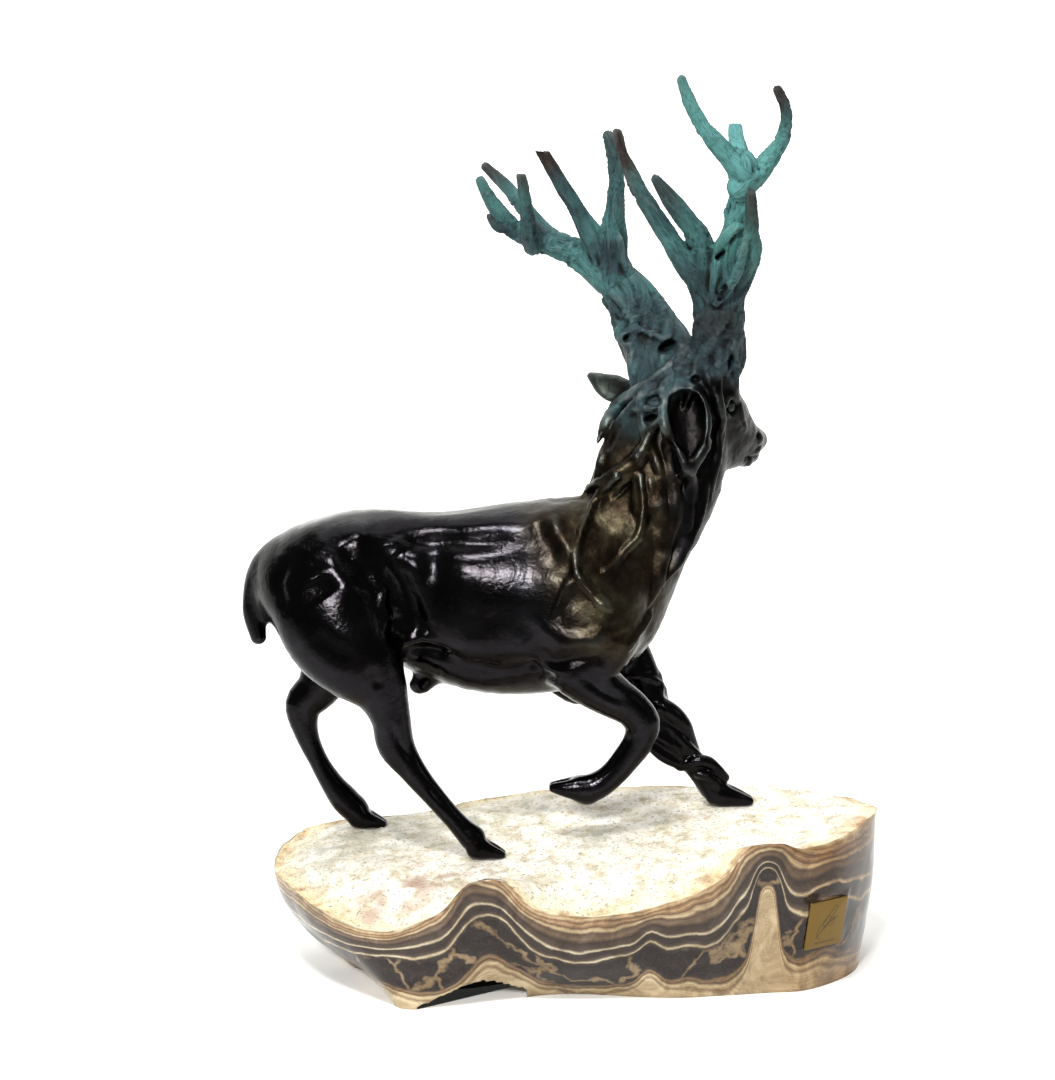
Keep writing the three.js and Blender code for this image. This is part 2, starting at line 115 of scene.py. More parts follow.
# The distance field of the stag, on a grid of boxes
voxel = 1.05
gridLow = np.array([-232.0, -94.0, -4.0])
gridHigh = np.array([138.0, 78.0, 514.0])
farAway = 30.0
gridAxes = [np.arange(low, high, voxel, dtype=np.float32) for low, high in zip(gridLow, gridHigh)]
field = np.full([len(axis) for axis in gridAxes], farAway, np.float32)


def spanOf(lowest, highest):
    first = np.clip(np.floor((lowest - gridLow) / voxel).astype(int), 0, np.array(field.shape) - 2)
    last = np.clip(np.ceil((highest - gridLow) / voxel).astype(int) + 1, first + 2, field.shape)
    return first, last


# Signed distance round a tube of elliptic sections: wideWay is the way its first half size lies
def tube(samples, wideWay=(0, 1, 0), reach=14.0):
    reachOf = np.max(samples[:, 3:5], axis=1)[:, None] + reach
    first, last = spanOf(np.min(samples[:, :3] - reachOf, axis=0), np.max(samples[:, :3] + reachOf, axis=0))
    values = np.full(last - first, farAway, np.float32)
    wideWay = np.asarray(wideWay, float)
    for a, b in zip(samples[:-1], samples[1:]):
        step = b[:3] - a[:3]
        length = np.linalg.norm(step)
        along = step / length
        wide = wideWay - along * (wideWay @ along)
        wide /= np.linalg.norm(wide)
        tall = np.cross(along, wide)
        room = max(a[3], a[4], b[3], b[4]) + reach
        f, l = spanOf(np.minimum(a[:3], b[:3]) - room, np.maximum(a[:3], b[:3]) + room)
        f, l = np.maximum(f, first), np.minimum(l, last)
        x, y, z = (gridAxes[i][f[i]:l[i]] - np.float32(a[i]) for i in range(3))
        x, y, z = x[:, None, None], y[None, :, None], z[None, None, :]
        s, u, v = (x * np.float32(w[0]) + y * np.float32(w[1]) + z * np.float32(w[2])
                   for w in (along, wide, tall))
        inside = np.clip(s, 0, np.float32(length))
        t = inside / np.float32(length)
        halfWide = np.float32(a[3]) + t * np.float32(b[3] - a[3])
        halfTall = np.float32(a[4]) + t * np.float32(b[4] - a[4])
        beyond = s - inside
        end = np.minimum(halfWide, halfTall)
        u, v, beyond = u / halfWide, v / halfTall, beyond / end
        level = np.sqrt(u * u + v * v + beyond * beyond)
        slope = np.sqrt((u / halfWide) ** 2 + (v / halfTall) ** 2 + (beyond / end) ** 2)
        distance = np.where(slope > 1e-6, level * (level - 1) / np.maximum(slope, 1e-6), -end)
        part = tuple(slice(f[i] - first[i], l[i] - first[i]) for i in range(3))
        values[part] = np.minimum(values[part], distance)
    return tuple(slice(a, b) for a, b in zip(first, last)), values


def addTube(shape, blend):
    where, values = shape
    old = field[where]
    near = (np.abs(old - values) < blend) & (np.minimum(old, values) < 2 * blend)
    melt = np.where(near, (blend - np.abs(old - values)) / blend, 0)
    field[where] = np.minimum(old, values) - melt * melt * np.float32(blend / 4)


def cutTube(shape, blend):
    where, values = shape
    old = field[where]
    melt = np.maximum(blend - np.abs(old + values), 0) / blend
    field[where] = np.maximum(old, -values) + melt * melt * np.float32(blend / 4)


# Where the skin is first met from one side, at a place seen from that side
def skinAt(x, z, side):
    i, k = (int(round((value - gridLow[axis]) / voxel)) for value, axis in ((x, 0), (z, 2)))
    row = field[i, :, k]
    order = range(len(row)) if side == nearSide else range(len(row) - 1, -1, -1)
    for j in order:
        if row[j] < 0:
            back = row[j + side]
            return gridAxes[1][j] + side * voxel * row[j] / (row[j] - back)
    return float(gridAxes[1][int(np.argmin(row))])


# A strand seen from the side, [x, z, radius], laid on the skin and sunk by a share of its radius
def strand(route, side, sink=-0.3, limit=None):
    flat = sampled([[x, 0, z, radius] for x, z, radius in route], 4.0)
    heights = np.array([skinAt(x, z, side) for x, _, z, *_ in flat])
    if limit is not None:
        heights = np.maximum(heights, limit) if side == nearSide else np.minimum(heights, limit)
    for _ in range(2):
        heights[1:-1] = (heights[:-2] + 2 * heights[1:-1] + heights[2:]) / 4
    flat[:, 1] = heights - side * flat[:, 3] * sink
    return flat


# A strand that winds round a tube
def winding(stations, turns, phase, radius, start=0.0, stop=1.0, lift=0.95, wideWay=(0, 1, 0)):
    core = sampled(stations, 3.0)
    count = len(core)
    picked = core[int(start * (count - 1)):int(stop * (count - 1)) + 1]
    out = []
    for i, (x, y, z, across, deep) in enumerate(picked):
        j = min(max(i, 1), len(picked) - 2)
        along = picked[j + 1][:3] - picked[j - 1][:3]
        along /= np.linalg.norm(along)
        wide = np.asarray(wideWay, float) - along * (np.asarray(wideWay) @ along)
        wide /= np.linalg.norm(wide)
        tall = np.cross(along, wide)
        turn = phase + 2 * math.pi * turns * i / (len(picked) - 1)
        place = np.array([x, y, z]) + wide * across * lift * math.cos(turn)
        place += tall * deep * lift * math.sin(turn)
        fade = 0.55 + 0.45 * math.sin(math.pi * min(1, 0.15 + i / (len(picked) - 1)))
        out.append([*place, radius * fade, radius * fade])
    return np.array(out)


# Body, neck, head and legs: [x, y, z, half width, half depth]
headAcross = (0.67, -0.74, 0)
body = {
    "torso": [
        [-203, 10, 182, 19, 22], [-186, 10, 183, 33, 37], [-160, 10, 184, 40, 45],
        [-140, 10, 183, 39, 50], [-116, 10, 180, 37, 52], [-92, 10, 175, 38, 57], [-60, 10, 171, 45, 64],
        [-26, 10, 173, 47, 66], [6, 10, 177, 42, 63], [28, 10, 175, 34, 52], [37, 10, 171, 24, 38]],
    "neck": [
        [10, 10, 176, 32, 38], [31, 10, 203, 33, 39], [50, 10, 233, 30, 39], [60, 10, 263, 28, 41],
        [68, 9, 294, 25, 34], [78, 8, 318, 21, 25]],
    "head": [
        [76, 0, 312, 18, 20], [84, 6, 306, 20, 23], [94, 15, 297, 19, 22], [104, 26, 287, 16.5, 18],
        [113, 37, 281, 13, 13], [120, 46, 278, 11, 11], [124.5, 51.5, 277, 9, 9]],
    "jaw": [
        [84, 8, 270, 12, 14], [98, 20, 270, 11, 12.5], [110, 34, 268.5, 8.5, 9], [118, 44, 267, 7.5, 6.6],
        [121.5, 48.5, 266.5, 6.5, 5.4]],
    "nearHind": [
        [-148, -2, 200, 24, 26], [-163, -10, 182, 31, 40], [-160, -19, 158, 28, 38],
        [-147, -25, 138, 23, 31], [-132, -24, 117, 16, 19], [-124.5, -23, 97, 12, 13.5],
        [-121, -22, 77, 10.5, 12.5], [-110, -22, 60, 8, 9], [-94, -22, 40, 7, 7.2], [-81, -22, 25, 7, 7],
        [-71, -22, 14, 8.5, 8.5]],
    "farHind": [
        [-150, 22, 200, 24, 26], [-164, 30, 182, 31, 40], [-166, 39, 156, 26, 34],
        [-168, 44, 132, 19, 24], [-178, 44, 106, 14, 16], [-190, 44, 92, 10.5, 13],
        [-189, 44, 75, 8.5, 9], [-181, 45, 54, 7, 7], [-171, 46, 36, 8, 8], [-162, 46, 24, 9, 10],
        [-154, 46, 15, 9, 9]],
    "nearFore": [
        [-10, -6, 216, 15, 20], [0, -19, 188, 21, 32], [8, -24, 158, 21, 35], [3, -25, 134, 17, 26],
        [10, -24, 121, 15, 18], [23, -22, 111, 12, 15], [37, -19, 101, 10.5, 12.5], [44, -17, 91, 10, 12],
        [42, -16, 79, 8.5, 10.5], [34, -15, 67, 7.5, 9.5], [23, -14, 54, 7.5, 9],
        [12, -13, 46.5, 8.5, 9.5], [2, -12.5, 45, 8, 8.5]],
    "farFore": [
        [-10, 26, 216, 15, 20], [0, 39, 188, 21, 32], [12, 44, 160, 20, 32], [24, 43, 140, 17, 24],
        [40, 41, 119, 13, 17], [50, 40, 100, 11, 13.5], [57, 40, 83, 10, 11.5], [67, 40, 67, 9.5, 10],
        [80, 40, 54, 8.5, 8.5], [91, 40, 43, 8, 8.5], [97, 40, 34, 9, 9.5]],
    "farElbow": [[26, 40, 118, 12, 14], [12, 38, 107, 11, 13], [0, 37, 104.5, 10, 10.5],
                 [-11, 36, 107.5, 7, 7.5]],
    "belly": [[-92, 10, 126, 8, 9], [-103, 10, 117, 7, 8], [-108, 10, 112, 5.5, 6]],
    "tail": [
        [-192, 10, 205, 9, 8], [-209, 10, 198, 8, 8], [-217, 9, 182, 7.5, 7.5], [-219, 8, 163, 7.5, 7.5],
        [-216, 8, 146, 6, 5.5]],
    "mane": [[44, 2, 262, 12, 14], [30, -2, 262, 10, 14], [24, -2, 246, 8, 10]],
}
bodyBlends = {
    "torso": 1, "neck": 16, "head": 6, "jaw": 5, "nearHind": 14, "farHind": 14, "nearFore": 12,
    "farFore": 12, "farElbow": 8, "belly": 6, "tail": 7, "mane": 8
}
for name, stations in body.items():
    spacing = 8.0 if name in ("torso", "neck") else 4.0
    wideWay = headAcross if name in ("head", "jaw") else (0, 1, 0)
    addTube(tube(sampled(stations, spacing), wideWay), bodyBlends[name])
print("body blended")

# Hooves: where the middle of the sole is, the ways its toe and its top point, and its size
hooves = [
    {"at": (-60.5, -22, 0), "toe": (1, 0, 0), "up": (0, 0, 1), "length": 27, "width": 17, "height": 14},
    {"at": (-145.5, 46, 4), "toe": (1, 0, 0), "up": (0, 0, 1), "length": 27, "width": 17, "height": 14},
    {"at": (109, 40, 21.5), "toe": (1, 0, 0), "up": (0, 0, 1), "length": 36, "width": 20, "height": 16},
    {"at": (-5, -12, 52), "toe": (-0.976, 0, -0.22), "up": (0.22, 0, -0.976), "length": 31, "width": 18,
     "height": 16},
]
for hoof in hooves:
    toe, up = np.array(hoof["toe"], float), np.array(hoof["up"], float)
    place, side = np.array(hoof["at"], float), np.cross(up, toe)
    length, width, height = hoof["length"], hoof["width"], hoof["height"]
    for half in (-1, 1):
        toeStations = [
            (-0.34, 0.22, 0.52, 0.25, 0.44), (-0.12, 0.24, 0.46, 0.26, 0.46),
            (0.14, 0.22, 0.34, 0.23, 0.34), (0.38, 0.15, 0.2, 0.15, 0.2)]
        stations = [
            [*(place + toe * a * length + side * half * b * width + up * c * height), d * width, e * height]
            for a, b, c, d, e in toeStations]
        addTube(tube(sampled(stations, 3.0), side, 6.0), 1.6)
    ankle = [
        [*(place + toe * -0.2 * length + up * 0.5 * height), width * 0.4, height * 0.42],
        [*(place + toe * -0.3 * length + up * (1.05 if up[2] > 0.5 else 0.85) * height), width * 0.36,
         height * 0.42]]
    addTube(tube(sampled(ankle, 3.0), side, 8.0), 5)
    if hoof["up"][2] > 0.5:
        first, last = spanOf(place - [length, width, 6], place + [length, width, 12])
        where = tuple(slice(a, b) for a, b in zip(first, last))
        floor = (place[2] - gridAxes[2][first[2]:last[2]])[None, None, :]
        field[where] = np.maximum(field[where], floor)

# Ears, cupped on one side
ears = [
    {"leaf": [[50, 26, 307, 5, 5], [38, 34, 311, 7, 5], [27, 41, 313, 9.5, 4], [18, 47, 317, 7, 3],
              [10, 53, 322, 2, 1.5]],
     "wide": (0.3, 0.2, 1), "open": (-1.5, -4.0, 0), "ridge": 1.2},
    {"leaf": [[68, -12, 314, 13, 8], [70.5, -20, 304, 16, 9], [72.5, -24, 290, 15.5, 7],
              [73.5, -26, 275, 10.5, 5.5], [74.5, -26, 262, 4, 3.5]],
     "wide": (1, 0, 0), "open": (0.5, -6.5, -3), "ridge": 1.8},
]
for ear in ears:
    leaf = sampled(ear["leaf"], 3.0)
    addTube(tube(leaf, ear["wide"], 6.0), 3)
    hollow = leaf.copy()[2:-1]
    hollow[:, :3] += ear["open"]
    hollow[:, 3] *= 0.76
    hollow[:, 4] = np.maximum(hollow[:, 4] * 0.95, 2.0)
    cutTube(tube(hollow, ear["wide"], 6.0), 1.5)

# Antlers: a trunk, then its beams and tines, [x, y, z, radius]
antlers = {
    "left": [
        [[60, 16, 316, 17, 21], [54, 28, 343, 17, 22], [46, 34, 362, 15, 19], [31, 38, 382, 12, 14],
         [16, 40, 399, 10, 12]],
        [[22, 38, 392, 13], [0, 44, 406.5, 10], [-17, 48, 412.5, 9], [-31, 52, 419.5, 7.5]],
        [[-21, 49, 416, 8], [-38, 62, 440.5, 5.2], [-52, 66, 456, 4], [-62, 68, 465.5, 3.4]],
        [[-29, 51, 419, 7.5], [-42, 52, 421.5, 6.8], [-53, 46, 434, 5.6], [-61, 40, 446.5, 4.4],
         [-65, 38, 454, 3.4]],
        [[-46, 47, 422, 4.2], [-54, 40, 423, 3.4], [-59, 36, 430, 2.6]],
        [[-29, 47, 411, 7], [-32.5, 32, 424, 5.5], [-34.5, 21, 439, 4.2], [-36.8, 14, 453.5, 3.1],
         [-38, 11, 460, 2.8]],
        [[20, 37, 396, 10], [3, 22, 429, 6], [-10.5, 12, 450.5, 5], [-22.5, 4, 469, 4.4],
         [-28, 0, 478, 4.6]],
        [[24, 36, 392, 12], [24.5, 26, 425, 7.5], [27, 18, 450, 5.6], [24, 12, 471, 5], [20.5, 8, 481, 4]]],
    "right": [
        [[84, 8, 312, 15, 18], [92, -3, 336, 15, 17], [94, -12, 356, 14, 16], [92, -18, 373, 13, 15]],
        [[89, -18, 370, 10], [73, -30, 392, 8], [53.5, -40, 418.5, 6.4], [39, -46, 441, 5.2],
         [29, -48, 462, 4], [24, -48, 478, 3]],
        [[89, -20, 374, 10], [77.5, -40, 411, 7.6], [61, -52, 432, 5.8], [48, -60, 448, 3.8]],
        [[96, -16, 368, 10], [104, -30, 384, 8], [110, -52, 402, 6.3], [108.6, -66, 415, 5.1],
         [107, -75, 428, 4], [106, -80, 437.5, 2.8]],
        [[92, -20, 372, 11], [95, -36, 398, 9], [100, -54, 424, 7.6], [101.5, -66, 444, 7],
         [101, -74, 457, 8]],
        [[100, -74, 453, 7], [88, -80, 465, 6], [75.5, -84, 478, 5], [67, -84, 493.5, 3.8],
         [62, -82, 507, 2.7]],
        [[100.5, -72, 456, 7.5], [98.5, -64, 471, 5.4], [97.5, -58, 484, 4.1]],
        [[100, -70, 442, 8], [111, -68, 452, 7], [121.5, -65, 464, 5.8], [128, -65, 476, 4.8],
         [129, -67, 487, 4], [126.5, -70, 495, 3.5], [122.5, -72, 502, 3]]],
}
# How dark each beam's far end is, and how bright its patina is at its root and its tip, in the order above
tipShades = {"left": [0, 0.1, 0.9, 0.25, 0.9, 0.85, 1.3, 0.5],
             "right": [0.7, 1.3, 0.7, 0.9, 0.1, 0.1, 0, 0.9]}
patinaShades = {
    "left": [(0.15, 0.3), (0.4, 0.35), (0.3, 0.3), (0.4, 0.6), (0.3, 0.3), (0.25, 0.4), (0.2, 0.3),
             (0.2, 0.3)],
    "right": [(0, 0.1), (0.2, 0.5), (0.15, 0.45), (0.25, 0.5), (0.15, 1), (0.8, 0.5), (1, 1), (0.8, 0.2)]}
beams = []
for name, tines in antlers.items():
    for number, tine in enumerate(tines):
        samples = sampled(tine, 3.0)
        beams.append((samples, tipShades[name][number], patinaShades[name][number]))
        addTube(tube(samples, reach=8.0), 4 if number else 8)
# Three tines end in a flat cut
for x, y, z, radius in ((-37, 12, 456.5, 9), (-25, 3, 471, 11), (97.5, -59, 483, 9)):
    first, last = spanOf(np.array([x, y, z]) - radius, np.array([x, y, z]) + radius)
    where = tuple(slice(a, b) for a, b in zip(first, last))
    field[where] = np.maximum(field[where], (gridAxes[2][first[2]:last[2]] - z)[None, None, :])
# Knots and loops on the antlers: [x, y, z, radius]
knots = [
    [[38, 24, 356, 6], [31.5, 25, 352, 6.5], [36, 18, 346, 6]],
    [[88.7, -38, 399.6, 3], [89.1, -48, 406.3, 3.4], [93.2, -56, 412.9, 3.6], [98.3, -60, 416.6, 3.4],
     [106, -58, 420, 3]],
    [[89.4, -34, 370.1, 3], [94.5, -46, 378.4, 3.6], [99.5, -58, 389.3, 3.6], [103, -67, 402, 3.2],
     [105.5, -68, 415, 2.6]],
    [[86, -34, 372, 3], [86.5, -40, 386, 3.4], [88.5, -42, 400, 3]],
    [[51, 24, 370, 3], [43.5, 25.5, 381, 3.8], [34, 24.5, 397, 4], [28, 22, 414, 3.4]],
    [[40, 18, 356, 4], [31, 24, 372, 4.4], [18, 32, 388, 4.4], [4, 38, 398, 3.6]]]
for knot in knots:
    addTube(tube(sampled(knot, 3.0), reach=5.0), 1.8)
for x, y, z, halfLong, halfWide, lean, deep in (
        (61, 8, 358, 6, 4.5, 60, 16), (44, 12, 380, 13, 2.2, -62, 9), (94, -42, 379, 9, 1.8, 62, 8),
        (90.5, -50, 401, 4.5, 2.4, 45, 12), (36, 14, 349, 6, 2.2, 30, 8)):
    way = (math.cos(math.radians(lean)), 0, math.sin(math.radians(lean)))
    crack = np.array([[x, y - 8, z, halfLong, halfWide * 1.3], [x, y, z, halfLong, halfWide],
                      [x, y + deep, z, halfLong * 0.6, halfWide * 0.6]])
    cutTube(tube(crack, way, 5.0), 1.4)
print("antlers blended")

# Roots over the antlers: [turns, phase, radius, start, stop, lift]
antlerRoots = {
    "left": [
        (0, [0.3, 0.5, 4.2, 0, 1, 0.98]), (0, [0.35, 1.7, 4.4, 0, 1, 0.96]),
        (0, [0.3, 3.0, 4.2, 0, 1, 0.98]), (0, [0.4, 4.1, 4.0, 0, 1, 0.98]),
        (0, [0.3, 5.0, 4.2, 0, 1, 0.96]), (0, [0.5, 5.8, 3.2, 0, 0.9, 1.0]),
        (0, [-0.5, 4.4, 2.6, 0, 0.8, 1.1]), (1, [0.3, 4.2, 3.2, 0, 0.9, 0.86]),
        (1, [-0.3, 2.6, 3.0, 0, 0.8, 0.86]), (7, [0.3, 4.0, 3.0, 0, 0.6, 0.86]),
        (6, [-0.2, 5.0, 2.6, 0, 0.5, 0.86])],
    "right": [
        (0, [0.3, 0.2, 4.0, 0, 1, 0.96]), (0, [0.35, 1.4, 4.2, 0, 1, 0.96]),
        (0, [0.3, 2.6, 4.0, 0, 1, 0.96]), (0, [0.35, 3.8, 4.2, 0, 1, 0.96]),
        (0, [0.35, 4.7, 3.6, 0, 1, 0.98]), (0, [0.4, 5.5, 3.4, 0, 1, 0.98]),
        (4, [0.8, 3.4, 3.2, 0, 0.8, 1.0]), (4, [-0.6, 0.8, 2.8, 0, 0.9, 0.95]),
        (2, [0.3, 3.6, 2.6, 0, 0.5, 0.9]), (1, [0.3, 4.4, 2.6, 0, 0.5, 0.9])],
}
for name, roots in antlerRoots.items():
    for number, (turns, phase, radius, start, stop, lift) in roots:
        path = winding(antlers[name][number], turns, phase, radius, start, stop, lift)
        addTube(tube(path[::2], reach=5.0), 1.6)

# Roots from the antlers down over head, neck and shoulder, as seen from the near side: [x, z, radius]
nearRoots = [
    [[71.7, 342, 4], [64.5, 331, 4.5], [51.6, 320, 4.5], [37.1, 309.4, 4.5], [26.5, 299, 4.5],
     [18, 286, 4.5], [14, 278, 3]],
    [[74.5, 336, 3.5], [67.3, 328.2, 3.4], [60.1, 322.6, 3.2], [49.7, 312.9, 3.4], [38.4, 303.2, 3.4],
     [30.4, 293.5, 3.4], [24, 282.1, 3.4], [19, 272, 3.4], [16, 262, 3.6], [12, 250, 4]],
    [[67.9, 334.5, 2.6], [57.4, 326.4, 2.8], [46.9, 318.3, 2.8], [39.6, 311, 2.8], [29.9, 302.9, 2.8],
     [20.2, 290.7, 2.4]],
    [[69.3, 327.5, 3], [62.9, 322.7, 3], [57.3, 317.1, 3], [56.2, 309.9, 3], [55.8, 300.2, 3],
     [57.5, 290.6, 3.2], [60, 278.5, 3.2], [61.7, 266.3, 3], [63.5, 250.1, 2.6], [64, 232, 2.2]],
    [[51.8, 317.1, 2.8], [43.8, 312.2, 2.8], [42.6, 303.4, 2.8], [43.5, 293.7, 2.8], [45.6, 284, 2.8],
     [49.7, 274.3, 2.6], [53.8, 264.6, 2.6], [55.9, 254, 2.6], [56.4, 241.8, 2.2]],
    [[55.5, 306.6, 2.2], [49.4, 302.6, 2.4], [43, 301.4, 2.4], [35.7, 300.2, 2.2]],
    [[55.9, 297, 2.4], [51.9, 291.4, 2.6], [47.9, 285.7, 2.8], [44.7, 277.6, 2.8], [42.3, 269.6, 2.4]],
    [[56.7, 314.6, 2.2], [49.5, 311.8, 2.2], [43.9, 309.8, 2]],
    [[82.9, 340.2, 3.6], [84.7, 328.1, 3.4], [87.2, 320, 3.2], [90.1, 309.5, 3.2], [93.9, 298.2, 3.2],
     [96.4, 286.8, 3], [94.5, 277, 3], [92.2, 265.6, 2.8], [90.3, 253.4, 2.6], [88.7, 241.1, 2.2]],
    [[93, 345, 3], [93.1, 333.7, 3], [92.4, 322.4, 2.8], [92.1, 312.6, 2.8], [93.4, 304.5, 2.6],
     [96.3, 293.1, 2.6], [93.6, 283.3, 2.6], [94.5, 273.5, 2.4], [95, 263.7, 2]],
    [[98.9, 338.4, 2.6], [98.2, 327.8, 2.6], [101.5, 318.8, 2.4], [106.6, 309, 2.2], [110.8, 297.5, 2],
     [115, 287.7, 1.8]],
    [[86.8, 284.2, 3.2], [82.5, 275.3, 3.4], [76.1, 266.5, 3.4], [71.3, 260.8, 3], [67.3, 253.5, 2.4]],
    [[64.3, 278.1, 2.4], [67.6, 271.7, 2.6], [71.6, 262.8, 2.6], [75.7, 254, 2.4], [77, 240, 2]],
    [[47.6, 259.8, 2.2], [49.7, 250.9, 2.4], [50.6, 242, 2.2], [50, 228, 1.8]],
    [[39.9, 264.7, 2.4], [39.2, 254.2, 2.6], [40.1, 242, 2.4], [41, 226, 2]],
    [[45.6, 282.4, 3.2], [41.6, 271, 4], [36, 263.7, 4], [26.3, 256.4, 4.4], [16.6, 250.8, 4.2],
     [10.1, 246.7, 3.6], [4.5, 241, 2.6]],
    [[103.5, 349.8, 3], [101.9, 340.1, 3], [105, 327.9, 2.4], [106.3, 318.1, 2], [108.8, 309.1, 1.8]],
    [[0, 196.3, 2.4], [-6.5, 185.8, 2.2], [-11.7, 173.9, 2], [-17, 166, 1.6]],
    [[0, 196.3, 2.4], [5.2, 187.1, 2.2], [14.4, 179.2, 2.2], [22.3, 168.6, 1.8]],
    [[54.8, 250.6, 2.4], [55, 229.2, 2.6], [53.8, 202.5, 2.4], [52, 181, 2.2], [46.7, 170.3, 2]],
    [[65.6, 251.7, 2.6], [64.4, 231.7, 2.8], [59.2, 211.7, 2.8], [55, 191.5, 2.4], [49, 175.4, 2]],
    [[75.3, 255.3, 2.8], [72.8, 235.2, 3], [70, 215, 2.8], [63, 198.9, 2.6], [56, 184, 2.2]],
    [[86, 254.8, 2.8], [81, 234.6, 3], [76, 219.8, 2.8], [68, 202, 2.6], [60, 189, 2.2]],
    [[49, 169.5, 2.4], [44, 160.1, 2.4], [36.6, 152, 2.2], [31.3, 142.6, 2]],
    [[70, 300, 2], [77, 322, 2.6], [80, 340, 3]],
]
nearRidges = [
    [[26, 257, 3], [17, 247, 3], [8, 233, 2.8], [2, 219, 2.5], [-1, 207, 2.2], [-1, 196, 1.6]],
    [[42, 257, 2.4], [43.4, 241, 2.6], [42.8, 227, 2.5], [38.9, 216, 2.4], [31.7, 209, 2.2], [25, 200, 1.9],
     [17, 196, 1.2]],
    [[-1, 196, 1.6], [5, 187, 1.4], [12, 178, 1.1], [20, 172, 0.8]]]
farRoots = [
    [[66, 332, 4.5], [52, 304, 4.2], [44, 270, 4], [50, 236, 3.6], [48, 200, 2.8]],
    [[50, 326, 4.6], [34, 302, 4.6], [22, 268, 4.4], [12, 236, 4], [2, 210, 3.2], [6, 176, 2.4]],
    [[84, 320, 4], [78, 290, 3.8], [76, 256, 3.6], [68, 214, 2.8]],
    [[58, 330, 3.4], [42, 300, 3.2], [34, 268, 3.2], [34, 236, 2.8], [30, 204, 2.4], [24, 180, 2]],
    [[76, 324, 3.4], [66, 296, 3.2], [62, 264, 3], [62, 232, 2.8], [58, 200, 2.4], [50, 178, 2]],
    [[90, 310, 3], [88, 284, 3], [86, 256, 2.8], [78, 226, 2.4], [68, 204, 2]],
]
for side, routes in ((nearSide, nearRoots), (farSide, farRoots)):
    for route in routes:
        flat = strand(route, side)
        low = smooth(-flat[:, 2], -290, -230)
        flat[:, 3] *= 1.1 + 0.65 * low
        flat[:, 4] *= 1.0 - 0.1 * low
        along = np.linspace(0, 1, len(flat))
        taper = 0.35 + 0.65 * smooth(along, -0.02, 0.15) * smooth(1 - along, -0.02, 0.2)
        flat[:, 1] -= side * ((0.2 + 0.3 * low) * flat[:, 4] + 1.8 * (1 - taper))
        flat[:, 3:5] *= taper[:, None]
        addTube(tube(flat, (1, 0, 0), 5.0), 2.0)
for route in nearRidges:
    addTube(tube(strand(route, nearSide, 0.1), (1, 0, 0), 5.0), 2.0)

# Roots wound round the standing foreleg, some of them broad straps: [x, y, z, radius]
straps = [
    [[46.6, 36, 100, 5], [57.7, 34, 94.8, 6], [67, 33, 89, 6.4], [75, 35, 80, 6], [79.6, 38, 70, 5],
     [84, 42, 60, 4]],
    [[60, 34, 84.6, 3], [71.1, 33, 73.5, 3.6], [80.1, 33, 63.3, 3.6], [87.2, 36, 56.8, 3]],
    [[73.7, 35, 49.8, 3.4], [83.5, 32, 54.5, 4], [92.4, 32, 54, 4.2], [99, 34, 48.5, 4],
     [105.5, 38, 41.5, 3.2]],
    [[51.4, 38, 67, 4.4], [61.4, 36, 58, 4.8], [72.6, 35, 52.5, 4.4], [80.4, 35, 50, 3.6]],
    [[85.8, 33, 45.2, 2.8], [94.7, 32, 43, 3.2], [100, 33, 36.5, 3], [103, 36, 30.8, 2.6]]]
for strap in straps:
    addTube(tube(sampled(strap, 3.0), reach=5.0), 1.4)
for turns, phase, radius, start, stop, lift in (
        (1.1, 2.4, 4.2, 0.42, 1, 0.85), (1.1, 4.5, 3.8, 0.42, 1, 0.85), (-0.9, 0.4, 3.4, 0.46, 1, 0.9),
        (1.2, 0.3, 3.0, 0.5, 1, 0.9), (-1.2, 3.6, 2.6, 0.52, 0.96, 0.95)):
    path = winding(body["farFore"], turns, phase, radius, start, stop, lift)
    addTube(tube(path[::2], reach=5.0), 1.3)

# Deep slits between the roots: [x, z, half length, half width, lean in degrees, depth]
for x, z, halfLong, halfWide, lean, depth in (
        (50, 306, 5.5, 2.6, 30, 8), (48.5, 295.4, 5.0, 2.4, 20, 8), (62, 343, 9, 4.2, 24, 14),
        (100.5, 332, 7, 2.2, 84, 8), (77.5, 321, 4.2, 3.0, 5, 6), (30, 247, 9, 1.8, 42, 2)):
    y = skinAt(x, z, nearSide)
    way = (math.cos(math.radians(lean)), 0, math.sin(math.radians(lean)))
    slit = np.array([[x, y - 5, z, halfLong, halfWide * 1.3], [x, y + 1, z, halfLong * 0.9, halfWide],
                     [x, y + depth, z, halfLong * 0.55, halfWide * 0.5]])
    cutTube(tube(slit, way, 5.0), 1.4)

# Eyes, nostrils and mouth, first seen side and then the other, mirrored over the head's own middle
headMiddle = np.array([94.0, 15.0])
acrossFlat = np.array(headAcross[:2]) / np.linalg.norm(headAcross[:2])


def otherSide(place):
    flat = np.array(place[:2]) - headMiddle
    return [*(headMiddle + flat - 2 * acrossFlat * (flat @ acrossFlat)), place[2]]


def onFace(x, z, sink=0.0):
    return [x, skinAt(x, z, nearSide) + sink, z]


# A small round form between a place and a step away from it
def blob(place, step, size, endSize=None, reach=5.0):
    place = np.array(place, float)
    return tube(np.array([[*place, *size], [*(place + step), *(endSize or size)]]), (1, 0, 0), reach)


